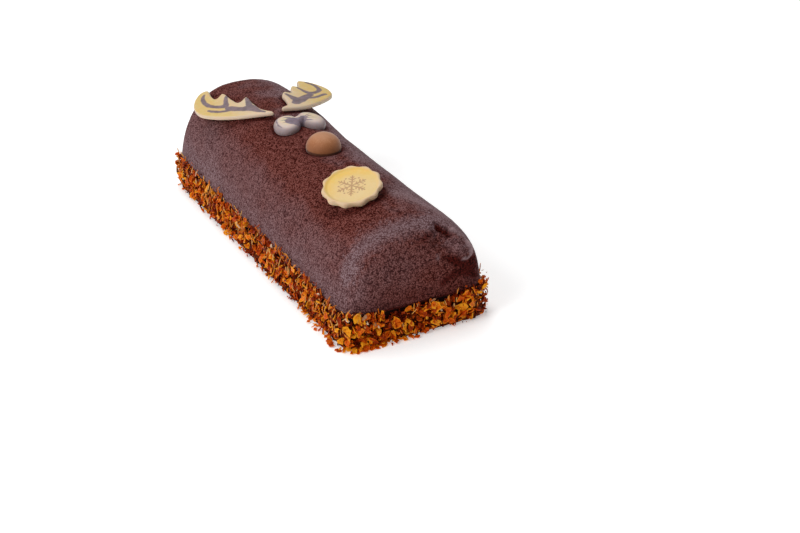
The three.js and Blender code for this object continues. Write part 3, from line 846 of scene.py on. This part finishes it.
def band_tops(points):
    """Height of the band of flakes at points of the foot."""
    flank = smooth_share(np.abs(points[:, 0]), LOG_WIDTH / 2 - FLANK_EDGE, LOG_WIDTH / 2)
    flank = flank * smooth_share(points[:, 1], *FLANK_FADE)
    stray = BAND_STRAY * plan_noise(points, BAND_WAVE)
    return BAND_TOP + FLANK_RISE * flank + corner_share(points, "climb") + stray


def turned(lean, swing, spin, way):
    """A turn that faces a flat chip out along a way, then leans, swings and spins it."""
    outwards = Vector((way[0], way[1], 0))
    along = Vector((0, 0, 1)).cross(outwards)
    facing = Matrix((along, Vector((0, 0, 1)), outwards)).transposed()
    turn = Matrix.Rotation(lean, 3, "X") @ Matrix.Rotation(swing, 3, "Y") @ Matrix.Rotation(spin, 3, "Z")
    return np.array(facing @ turn)


def chances_along(kind, points, ways):
    """How likely a chip of a kind is to lie at each point of the foot."""
    on_flank = np.abs(ways[:, 0]) > 0.7
    chances = np.where(on_flank, kind["flank"] / on_flank.sum(), (1 - kind["flank"]) / (~on_flank).sum())
    if "gather" in kind:
        away = np.hypot(points[:, 0] + LOG_WIDTH / 2, points[:, 1] + LOG_LENGTH / 2)
        chances = chances * np.exp(-(away / (kind["gather"] * MM)) ** 2)
    return chances / chances.sum()


def scattered(kinds, path, random):
    """Joins chips of several kinds, laid along the foot, into one mesh."""
    points, ways = path
    tops = band_tops(points)
    clumps = CLUMP_TONE * plan_noise(points, CLUMP_FEATURE, 17) + corner_share(points, "tone")
    everything, faces, tones, rims = [], [], [], []
    total = 0
    for kind in kinds:
        pattern = flake_faces(kind["corners"])
        places = random.choice(len(points), size=kind["count"], p=chances_along(kind, points, ways))
        for index in places:
            shape, rim = flake_shape(kind, random)
            way = ways[index]
            lean, swing = random.normal(*kind["lean"]), random.normal(0, kind["swing"])
            shape = shape @ turned(lean, swing, random.normal(*kind["spin"]), way).T
            reach = random.uniform(*kind["reach"])
            shape[:, :2] += points[index] + way * (reach * MM - (shape[:, :2] @ way).max())
            shape[:, 2] += random.uniform(*kind["rise"]) * tops[index]
            shape[:, 2] += max(0, FLOOR_GAP - shape[:, 2].min())
            tone = random.uniform(*kind["tone"]) + clumps[index]
            # Chips set deep in the band are darkened by painted shade.
            tone -= DEEP_SHADE * (1 - float(smooth_share(reach, *DEEP_SHADE_REACH)))
            everything.append(shape)
            rims.append(rim)
            tones.append(np.full(len(shape), tone))
            faces.extend(tuple(total + i for i in face) for face in pattern)
            total += len(shape)
    attributes = {"tone": np.concatenate(tones), "rim": np.concatenate(rims)}
    return np.concatenate(everything), faces, attributes


def flake_pieces(amber, gold, nut):
    random = np.random.default_rng(FLAKE_SEED)
    path = foot_path(0, FOOT_SPACING)
    for name, kinds, material in (
        ("caramel_flakes", [BROAD, MIDDLING, FALLEN], amber),
        ("caramel_slivers", [SLIVER], gold),
        ("caramel_crumbs", [CRUMB], amber),
        ("nut_chips", [NUT], nut),
    ):
        points, faces, attributes = scattered(kinds, path, random)
        piece = mesh_piece(name, points, faces, material, attributes, crease=FLAKE_CREASE)
        finish_piece(piece, "log")


# ---------------------------------------------------------------- the moulded pieces


def rest_height(outline, centre, slope_x, slope_y):
    """The height at a tilted plate's centre that leaves a gap between its underside and the log."""
    shares = (np.arange(REST_SAMPLES + 1) / REST_SAMPLES)[:, None, None, None]
    chords = outline[:, None, :] * (1 - shares) + outline[None, :, :] * shares
    x, y = chords[..., 0], chords[..., 1]
    rise = slope_x * (x - centre[0]) + slope_y * (y - centre[1])
    return (log_top(x, y) - rise).max() + GAP * math.hypot(1, slope_x, slope_y)


def smooth_outline(corners, count):
    """A closed centripetal Catmull-Rom curve through the corners, as evenly spaced points."""
    corners = np.array(corners, float)
    number = len(corners)
    curve = []
    shares = np.linspace(0, 1, 32, endpoint=False)[:, None]
    for i in range(number):
        before, start, end, after = (corners[(i + k) % number] for k in (-1, 0, 1, 2))
        gaps = [math.sqrt(math.dist(a, b)) for a, b in ((before, start), (start, end), (end, after))]
        leave = (start - before) / gaps[0] - (end - before) / (gaps[0] + gaps[1]) + (end - start) / gaps[1]
        arrive = (end - start) / gaps[1] - (after - start) / (gaps[1] + gaps[2]) + (after - end) / gaps[2]
        leave, arrive = leave * gaps[1], arrive * gaps[1]
        cubic = 2 * start - 2 * end + leave + arrive
        square = -3 * start + 3 * end - 2 * leave - arrive
        curve.append(start + leave * shares + square * shares ** 2 + cubic * shares ** 3)
    curve = np.concatenate(curve)
    looped = closed(curve)
    lengths = np.concatenate([[0], np.cumsum(np.linalg.norm(np.diff(looped, axis=0), axis=1))])
    wanted = np.linspace(0, lengths[-1], count, endpoint=False)
    return np.column_stack([np.interp(wanted, lengths, looped[:, i]) for i in (0, 1)])


def inside_outline(points, outline):
    """Which points lie inside a closed outline."""
    inside = np.zeros(len(points), bool)
    ends = np.roll(outline, -1, axis=0)
    for (x0, y0), (x1, y1) in zip(outline, ends):
        if y0 == y1:
            continue
        crosses = (y0 > points[:, 1]) != (y1 > points[:, 1])
        inside ^= crosses & (points[:, 0] < (x1 - x0) * (points[:, 1] - y0) / (y1 - y0) + x0)
    return inside


def rounded(depth, radius):
    """How far a rounded edge has risen, from 0 to 1, at a depth inside it."""
    return np.sqrt(1 - (1 - np.clip(depth / radius, 0, 1)) ** 2)


def plate_mesh(outline, spacing, edge):
    """A fine flat mesh inside a clockwise outline: points, triangles and each point's depth inside."""
    loop = closed(outline)
    ahead = np.roll(outline, -1, axis=0) - np.roll(outline, 1, axis=0)
    ahead /= np.linalg.norm(ahead, axis=1, keepdims=True)
    inwards = np.column_stack([ahead[:, 1], -ahead[:, 0]])
    filling = [outline]
    for share in PLATE_RINGS:
        ring = outline + inwards * edge * share
        deep = stroke_distance(ring, loop) > 0.93 * edge * share
        filling.append(ring[deep & inside_outline(ring, outline)])
    low, high = outline.min(0), outline.max(0)
    for index, y in enumerate(np.arange(low[1], high[1], spacing * math.sqrt(0.75))):
        x = np.arange(low[0], high[0], spacing) + spacing / 2 * (index % 2)
        row = np.column_stack([x, np.full(len(x), y)])
        deep = stroke_distance(row, loop) > edge * PLATE_RINGS[-1] + spacing / 2
        filling.append(row[deep & inside_outline(row, outline)])
    flat = np.concatenate(filling)
    border = [(i, (i + 1) % len(outline)) for i in range(len(outline))]
    made = delaunay_2d_cdt([Vector(p) for p in flat], border, [], 1, 1e-9)
    points = np.array([tuple(p) for p in made[0]])
    return points, made[2], stroke_distance(points, loop)


def thick_plate(name, points, faces, depth, top, bottom, material, attributes, place):
    """Gives a flat mesh a top and an underside that meet along its outline."""
    inside = depth >= 1e-6
    lower_index = np.arange(len(points))
    lower_index[inside] = len(points) + np.arange(inside.sum())
    sides = list(faces) + [tuple(int(lower_index[i]) for i in reversed(face)) for face in faces]
    doubled = {key: np.concatenate([value, value[inside]]) for key, value in attributes.items()}
    lower = np.column_stack([points, bottom])[inside]
    world = moved(np.concatenate([np.column_stack([points, top]), lower]), place)
    return mesh_piece(name, world, sides, material, doubled, 0.001 * MM)


def swirl_depth(points, swirls):
    """Signed distance in millimetres to strokes that taper: below 0 inside a stroke."""
    return np.min([stroke_distance(points, swirl) for swirl in swirls], axis=0)


def antler_piece(name, node, antler, material):
    side = antler["side"]
    droop = side * antler["droop"]
    outline = smooth_outline(np.array(antler["outline"]) * MM, ANTLER_POINTS)
    flat, faces, depth = plate_mesh(outline, ANTLER_SPACING, ANTLER_EDGE)
    waist = ANTLER_WAIST * ANTLER_THICKNESS
    top = waist + (ANTLER_THICKNESS - ANTLER_CROWN - waist) * rounded(depth, ANTLER_EDGE)
    top += ANTLER_CROWN * smooth_share(depth, 0, ANTLER_CROWN_REACH)
    bottom = waist * (1 - rounded(depth, 0.6 * ANTLER_EDGE))
    inner = np.array(antler["inner"]) * MM
    height = rest_height(antler_plan(antler, ANTLER_POINTS)[::4], inner, -math.tan(droop), 0)
    place = Matrix.Translation((*inner, height)) @ Matrix.Rotation(droop, 4, "Y")
    attributes = {
        "swirl": swirl_depth(flat / MM, antler["swirls"]) - ANTLER_STROKE_SWELL,
        "warm": smooth_share(flat[:, 0] / flat[:, 0].max(), *ANTLER_WARM),
        "edge_light_and_shade": np.clip(depth / ANTLER_SHORE, 0, 1),
    }
    piece = thick_plate(name, flat * [side, 1], faces, depth, top, bottom, material, attributes, place)
    finish_piece(piece, node)


def lathe(section, radii, heights):
    """Rows of points: a closed section scaled by each radius, at each height."""
    flat = radii[:, None, None] * section
    return np.concatenate([flat, np.broadcast_to(heights[:, None, None], flat.shape[:2] + (1,))], axis=-1)


def pebble(lobe):
    """One lobe of the eyes: points and faces of a flattened, rounded oval on a skirt."""
    angles = np.pi / 2 * np.arange(EYE_ROWS + 1) / EYE_ROWS
    oval = circle(EYE_COLUMNS) * [lobe["across"] * MM, lobe["along"] * MM]
    radii = np.maximum(0, np.cos(angles)) ** (2 / EYE_POWER)
    grid = lathe(oval, radii, EYE_THICKNESS * np.sin(angles) ** (2 / EYE_POWER))
    skirt = grid[:1] * [EYE_SKIRT_TAPER, EYE_SKIRT_TAPER, 1] - [0, 0, EYE_SKIRT]
    grid = np.concatenate([skirt, grid])
    turn = Matrix.Rotation(lobe["droop"], 3, "Y") @ Matrix.Rotation(lobe["turn"], 3, "Z")
    centre = np.array(lobe["centre"]) * MM
    world = grid.reshape(-1, 3) @ np.array(turn).T + [*centre, float(log_top(*centre))]
    return world, ring_faces(EYE_ROWS + 2, EYE_COLUMNS, base=True)


def eyes_piece(material):
    points, faces = [], []
    total = 0
    for lobe in EYE_LOBES:
        lobe_points, lobe_faces = pebble(lobe)
        points.append(lobe_points)
        faces.extend(tuple(total + i for i in face) for face in lobe_faces)
        total += len(lobe_points)
    piece = mesh_piece("eye_pair", np.concatenate(points), faces, material, merge=0.01 * MM)
    remesh = piece.modifiers.new("one_body", "REMESH")
    remesh.mode = "VOXEL"
    remesh.voxel_size = EYE_VOXEL
    piece.modifiers.new("soften", "SMOOTH").iterations = EYE_SMOOTHING
    depsgraph = bpy.context.evaluated_depsgraph_get()
    mesh = bpy.data.meshes.new_from_object(piece.evaluated_get(depsgraph))
    piece.modifiers.clear()
    piece.data = mesh
    place = np.empty(len(mesh.vertices) * 3)
    mesh.vertices.foreach_get("co", place)
    place = place.reshape(-1, 3)
    coat = log_top(place[:, 0], place[:, 1])
    place[:, 2] = np.maximum(place[:, 2], coat - CONTACT_SINK)
    mesh.vertices.foreach_set("co", place.ravel())
    above = (place[:, 2] - coat) / EYE_THICKNESS
    inside = np.max([-oval_distance(place[:, :2], lobe) for lobe in EYE_LOBES], axis=0) / EYE_RING
    add_attributes(mesh, {
        "swirl": swirl_depth(place[:, :2] / MM, EYE_SWIRLS),
        "edge_light_and_shade": np.clip(np.minimum(above, inside), 0, 1),
        "warm": smooth_share(inside, 0.5, 1.6),
    })
    mesh.shade_smooth()
    finish_piece(piece, "eyes")


def nose_piece(material):
    base = float(log_top(*NOSE_CENTRE))
    angles = -NOSE_TUCK + (math.pi / 2 + NOSE_TUCK) * np.arange(NOSE_ROWS) / NOSE_ROWS
    grid = lathe(circle(NOSE_COLUMNS), NOSE_RADIUS * np.cos(angles), base + NOSE_HEIGHT * np.sin(angles))
    grid[..., :2] += NOSE_CENTRE
    floor = log_top(grid[..., 0], grid[..., 1]) - CONTACT_SINK
    grid[..., 2] = np.maximum(grid[..., 2], floor)
    points = np.concatenate([grid.reshape(-1, 3), [[*NOSE_CENTRE, base + NOSE_HEIGHT]]])
    faces = ring_faces(NOSE_ROWS, NOSE_COLUMNS, base=True)
    last, tip = (NOSE_ROWS - 1) * NOSE_COLUMNS, len(points) - 1
    faces += [(last + i, last + (i + 1) % NOSE_COLUMNS, tip) for i in range(NOSE_COLUMNS)]
    height = (points[:, 2] - base) / NOSE_HEIGHT
    piece = mesh_piece("nose_dome", points, faces, material, {"height": height})
    finish_piece(piece, "nose")


def snowflake_depth(points):
    """Signed distance in millimetres to a six-armed snowflake: below 0 inside its strokes."""
    sector = math.pi / 3
    angle = np.arctan2(points[:, 1], points[:, 0])
    folded = np.abs((angle + sector / 2) % sector - sector / 2)
    radius = np.linalg.norm(points, axis=1)
    local = np.column_stack([radius * np.cos(folded), radius * np.sin(folded)])
    strokes = [[(0, 0, SNOWFLAKE_STROKE), (SNOWFLAKE_REACH, 0, SNOWFLAKE_STROKE * 0.8)]]
    for start, length in SNOWFLAKE_BRANCHES:
        tip = (start + length * math.cos(sector), length * math.sin(sector), SNOWFLAKE_STROKE * 0.7)
        strokes.append([(start, 0, SNOWFLAKE_STROKE * 0.9), tip])
    distance, size = SNOWFLAKE_DOT
    strokes.append([(distance * math.cos(sector / 2), distance * math.sin(sector / 2), size)])
    return swirl_depth(local, strokes)


def plaque_piece(material):
    ways = circle(PLAQUE_COLUMNS)
    wobble = plan_noise(ways * 1.1, 1.0, 21)
    scallop = np.cos(PLAQUE_SCALLOPS * angles_round(PLAQUE_COLUMNS)) - 1
    outer = PLAQUE_RADIUS + PLAQUE_SCALLOP_DEPTH * scallop + PLAQUE_WOBBLE * (wobble - 0.4)
    shares = 1 - (1 - np.arange(PLAQUE_ROWS + 1) / PLAQUE_ROWS) ** PLAQUE_ROW_POWER
    radii = shares[:, None] * outer
    flat = radii[..., None] * ways
    half_slope = PLAQUE_RIM_SLOPE / 2
    slope = smooth_share(radii + 0.3 * MM * wobble - PLAQUE_FIELD_RADIUS, -half_slope, half_slope)
    top = PLAQUE_FIELD_THICKNESS + (PLAQUE_RIM_THICKNESS - PLAQUE_FIELD_THICKNESS) * slope
    top += PLAQUE_UNEVEN * plan_noise(flat, 4 * MM, 2)
    top -= PLAQUE_EDGE * (1 - rounded(outer - radii, PLAQUE_EDGE))
    rows = list(np.concatenate([flat, top[..., None]], axis=-1))
    for inset, height in PLAQUE_SIDE:
        rows.append(np.column_stack([ways * (outer - inset)[:, None], np.full(PLAQUE_COLUMNS, height)]))
    points = np.concatenate(rows)
    faces = ring_faces(len(rows), PLAQUE_COLUMNS)
    faces.append(tuple(range(len(points) - PLAQUE_COLUMNS, len(points))))
    height = rest_height((PLAQUE_CENTRE + outer[:, None] * ways)[::4], PLAQUE_CENTRE, *PLAQUE_SLOPES)
    place = (Matrix.Translation((*PLAQUE_CENTRE, height)) @ Matrix.Rotation(PLAQUE_PITCH, 4, "X")
             @ Matrix.Rotation(PLAQUE_ROLL, 4, "Y"))
    piece = mesh_piece("plaque_disc", moved(points, place), faces, material, {
        "ornament": snowflake_depth(points[:, :2] / MM),
        "radius": np.linalg.norm(points[:, :2], axis=1) / PLAQUE_RADIUS,
        "local_y": points[:, 1] / MM,
    }, 0.001 * MM)
    finish_piece(piece, "plaque")


# ---------------------------------------------------------------- materials


class Finish:
    """A material and short ways to add the nodes that feed its shader."""

    def __init__(self, name):
        self.material = bpy.data.materials.new(name)
        self.material.use_nodes = True
        self.tree = self.material.node_tree
        self.shader = self.tree.nodes["Principled BSDF"]
        self.place = self.add("TexCoord").outputs["Object"]

    def fill(self, node, sockets):
        """Links outputs to a node's sockets, or sets the sockets to numbers and colours."""
        for key, value in sockets.items():
            if isinstance(value, bpy.types.NodeSocket):
                self.tree.links.new(value, node.inputs[key])
            else:
                node.inputs[key].default_value = (*value, 1) if isinstance(value, tuple) else value

    def set(self, sockets):
        self.fill(self.shader, sockets)

    def add(self, kind, sockets=None, **settings):
        node = self.tree.nodes.new("ShaderNode" + kind)
        for key, value in settings.items():
            setattr(node, key, value)
        self.fill(node, sockets or {})
        return node

    def noise(self, feature, detail=2.0, roughness=0.5):
        sockets = {"Vector": self.place, "Scale": 1 / feature, "Detail": detail, "Roughness": roughness}
        return self.add("TexNoise", sockets).outputs["Fac"]

    def cells(self, feature):
        return self.add("TexVoronoi", {"Vector": self.place, "Scale": 1 / feature}).outputs["Distance"]

    def attribute(self, name):
        return self.add("Attribute", attribute_name=name).outputs["Fac"]

    def math(self, operation, first, second):
        return self.add("Math", {0: first, 1: second}, operation=operation).outputs[0]

    def unsettle(self, value, disturbance, amount):
        """A value with a disturbance from 0 to 1 added to it, evenly up and down."""
        swing = self.math("MULTIPLY", self.math("SUBTRACT", disturbance, 0.5), amount)
        return self.math("ADD", value, swing)

    def ranged(self, value, low, high, to_low=0.0, to_high=1.0):
        sockets = {"Value": value, "From Min": low, "From Max": high, "To Min": to_low, "To Max": to_high}
        return self.add("MapRange", sockets, interpolation_type="SMOOTHSTEP").outputs["Result"]

    def ramp(self, value, stops):
        node = self.add("ValToRGB", {"Fac": value})
        elements = node.color_ramp.elements
        while len(elements) < len(stops):
            elements.new(0.5)
        for element, (position, colour) in zip(elements, stops):
            element.position = position
            element.color = (*colour, 1)
        return node.outputs["Color"]

    def mix(self, share, first, second):
        return self.add("Mix", {0: share, 6: first, 7: second}, data_type="RGBA").outputs[2]

    def bump(self, height, distance, strength, under=None):
        sockets = {"Height": height, "Distance": distance, "Strength": strength}
        if under is not None:
            sockets["Normal"] = under
        return self.add("Bump", sockets).outputs["Normal"]


def velvet():
    """Sprayed cocoa velvet: a fine dark grain with pale specks, grey with frost and painted sheen, near black
    with bare chocolate and painted shade, and paler on painted highlights.
    """
    finish = Finish("velvet_coat")
    droplets = finish.math("MULTIPLY", finish.math("SUBTRACT", 0.55, finish.cells(DROPLET)), 0.55)
    speck = finish.math("ADD", finish.noise(0.5 * MM, 2, 0.6), droplets)
    speck = finish.unsettle(speck, finish.noise(2.2 * MM), 0.4)
    # Grey where frosted and where sheen is painted.
    colour = finish.mix(finish.attribute("frost_and_sheen"), finish.ramp(speck, GRAIN), finish.ramp(speck, FROST_AND_SHEEN))
    # Near black where the chocolate is bare and where shade is painted.
    colour = finish.mix(finish.attribute("bare"), colour, finish.ramp(speck, UNCOVERED_AND_SHADE))
    coarse = finish.bump(finish.noise(1.5 * MM, 3, 0.6), 0.35 * MM, 0.7)
    finish.set({
        # Paler on painted highlights.
        "Base Color": finish.mix(finish.attribute("painted_highlight"), colour, PAINTED_HIGHLIGHT),
        "Normal": finish.bump(finish.cells(DROPLET), 0.3 * MM, 0.7, coarse),
        "Roughness": 0.85,
        "Specular IOR Level": 0.03,
        "Sheen Weight": 0.06,
        "Sheen Roughness": 0.3,
        "Sheen Tint": (0.85, 0.72, 0.78),
    })
    return finish.material


def crushed_bed():
    finish = Finish("crushed_bed")
    crushed = finish.ramp(finish.noise(1.6 * MM, 3, 0.6), CRUSHED)
    finish.set({
        # Painted shade in the crevice under the coat.
        "Base Color": finish.mix(finish.attribute("crevice_shade"), crushed, CREVICE_SHADE),
        "Normal": finish.bump(finish.noise(0.9 * MM, 3), 0.5 * MM, 0.9),
        "Roughness": 0.7,
        "Specular IOR Level": 0.06,
    })
    return finish.material


def caramel(name, stops):
    """Glassy amber caramel: each flake has a tone of its own, with its thin broken edges paler from painted
    light shining through.
    """
    finish = Finish(name)
    tone = finish.unsettle(finish.attribute("tone"), finish.noise(1.3 * MM), 0.7)
    # Painted light glowing through the thin edges.
    edge = finish.math("MULTIPLY", finish.ranged(finish.attribute("rim"), 0.55, 1.0), 0.22)
    finish.set({
        "Base Color": finish.ramp(finish.math("ADD", tone, edge), stops),
        "Normal": finish.bump(finish.noise(0.7 * MM, 3, 0.55), 0.25 * MM, 0.8),
        "Roughness": 0.34,
        "Specular IOR Level": 0.14,
        "Specular Tint": (1, 0.62, 0.3),
    })
    return finish.material


def nuts():
    finish = Finish("nut_chip")
    tone = finish.unsettle(finish.attribute("tone"), finish.noise(1 * MM), 1)
    finish.set({
        "Base Color": finish.ramp(tone, NUT_STOPS),
        "Normal": finish.bump(finish.noise(0.6 * MM, 3), 0.2 * MM, 0.7),
        "Roughness": 0.6,
    })
    return finish.material


def ivory(name, pale, warm, dark, edge_light_and_shade, shore_height):
    """Ivory chocolate with dark marbling along the strokes that the mesh carries, and paint along its edge: a
    painted highlight on the antlers, painted shade on the eyes.
    """
    finish = Finish(name)
    swirl = finish.unsettle(finish.attribute("swirl"), finish.noise(1.7 * MM, 3, 0.55), 0.8)
    mottle = finish.noise(3.2 * MM, 3, 0.6)
    body = finish.mix(finish.attribute("warm"), pale, warm)
    body = finish.mix(finish.ranged(mottle, 0.35, 0.75, 0, 0.3), body, IVORY_MOTTLE)
    # Near the edge: a painted highlight on the antlers, painted shade on the eyes.
    body = finish.mix(finish.ranged(finish.attribute("edge_light_and_shade"), shore_height, 0.05, 0, 0.85), body, edge_light_and_shade)
    marbling = finish.mix(finish.ranged(mottle, 0.3, 0.7), dark, tuple(1.45 * c for c in dark))
    finish.set({
        "Base Color": finish.mix(finish.ranged(swirl, 0.35, -0.3), body, marbling),
        "Normal": finish.bump(finish.noise(2.2 * MM, 3), 0.2 * MM, 0.45),
        "Roughness": 0.48,
        "Specular IOR Level": 0.4,
        "Subsurface Weight": 0.12,
        "Subsurface Scale": 1.5 * MM,
    })
    return finish.material


def frosted_nose():
    """Caramel-brown chocolate with a paler frosted shoulder, and painted shade round its foot."""
    finish = Finish("nose_chocolate")
    height = finish.attribute("height")
    share = finish.unsettle(finish.ranged(height, 0.25, 1.05), finish.noise(2.6 * MM, 3, 0.6), 0.5)
    sugar = finish.ranged(finish.noise(0.55 * MM, 1), 0.5, 0.75, 0, 0.35)
    dome = finish.ramp(finish.math("ADD", share, sugar), NOSE_STOPS)
    # Painted shade where the dome meets the coat.
    foot_shade = finish.ranged(height, 0.05, -0.03, 0, 0.8)
    finish.set({
        "Base Color": finish.mix(foot_shade, dome, NOSE_FOOT_SHADE),
        "Normal": finish.bump(finish.noise(0.6 * MM, 2, 0.6), 0.2 * MM, 0.7),
        "Roughness": 0.62,
        "Specular IOR Level": 0.35,
        "Sheen Weight": 0.35,
        "Sheen Roughness": 0.4,
    })
    return finish.material


def plaque_finish():
    """Pale yellow chocolate, paler at the rim, with a reddish-brown printed snowflake."""
    finish = Finish("yellow_chocolate")
    radius = finish.attribute("radius")
    far = finish.ranged(finish.attribute("local_y"), -9, 10)
    warm = finish.math("MULTIPLY", far, finish.ranged(radius, 0.3, 0.72))
    field = finish.mix(warm, PLAQUE_COLOURS["field"], PLAQUE_COLOURS["warm"])
    mottle = finish.ranged(finish.noise(4 * MM, 3, 0.6), 0.35, 0.8, 0, 0.3)
    field = finish.mix(mottle, field, PLAQUE_COLOURS["mottle"])
    body = finish.mix(finish.ranged(radius, 0.82, 0.95), field, PLAQUE_COLOURS["rim"])
    worn = finish.unsettle(finish.attribute("ornament"), finish.noise(0.7 * MM), 0.9)
    finish.set({
        "Base Color": finish.mix(finish.ranged(worn, 0.2, -0.2, 0, 0.7), body, PLAQUE_COLOURS["print"]),
        "Normal": finish.bump(finish.noise(2.5 * MM, 3), 0.2 * MM, 0.4),
        "Roughness": 0.5,
        "Specular IOR Level": 0.4,
        "Subsurface Weight": 0.1,
        "Subsurface Scale": 1.5 * MM,
    })
    return finish.material


# ---------------------------------------------------------------- stage, light and camera


def floor_piece():
    finish = Finish("pale_floor")
    finish.set({
        "Base Color": (0.93, 0.93, 0.93),
        "Roughness": 0.9,
        "Emission Color": (1.0, 1.0, 1.0),
        "Emission Strength": FLOOR_GLOW,
    })
    corners = [(x * FLOOR_REACH, y * FLOOR_REACH, 0) for x, y in ((-1, -1), (1, -1), (1, 1), (-1, 1))]
    mesh_piece("floor", corners, [(0, 1, 2, 3)], finish.material)


def area_light(name, place, size, power):
    light = bpy.data.lights.new(name, "AREA")
    light.size = size
    light.energy = power
    lamp = bpy.data.objects.new(name, light)
    lamp.location = place
    lamp.rotation_euler = (Vector(LIGHT_TARGET) - Vector(place)).to_track_quat("-Z", "Y").to_euler()
    bpy.context.scene.collection.objects.link(lamp)


def lighting():
    world = bpy.data.worlds.new("studio")
    bpy.context.scene.world = world
    world.use_nodes = True
    background = world.node_tree.nodes["Background"]
    background.inputs["Color"].default_value = (1, 1, 1, 1)
    background.inputs["Strength"].default_value = WORLD_STRENGTH
    for name, place, size, power in SOFTBOXES:
        area_light(name, place, size, power)


def camera():
    lens = bpy.data.cameras.new("camera")
    lens.lens = CAMERA_LENS
    lens.sensor_width = CAMERA_SENSOR
    lens.sensor_fit = "HORIZONTAL"
    lens.clip_start = 0.01
    view = bpy.data.objects.new("camera", lens)
    view.matrix_world = (
        Matrix.Translation(CAMERA_PLACE)
        @ Matrix.Rotation(CAMERA_AZIMUTH, 4, "Z")
        @ Matrix.Rotation(math.pi / 2 - CAMERA_ELEVATION, 4, "X")
        @ Matrix.Rotation(CAMERA_ROLL, 4, "Z")
    )
    bpy.context.scene.collection.objects.link(view)
    bpy.context.scene.camera = view


camera()
lighting()
floor_piece()
coat_piece(velvet())
bed_piece(crushed_bed())
flake_pieces(caramel("caramel_amber", AMBER_STOPS), caramel("caramel_gold", GOLD_STOPS), nuts())
marbled = ivory("ivory_chocolate", **ANTLER_COLOURS)
antler_piece("antler_left_moulded", "antler_left", LEFT_ANTLER, marbled)
antler_piece("antler_right_moulded", "antler_right", RIGHT_ANTLER, marbled)
eyes_piece(ivory("eye_chocolate", **EYE_COLOURS))
nose_piece(frosted_nose())
plaque_piece(plaque_finish())
bpy.context.scene.view_settings.view_transform = "Standard"
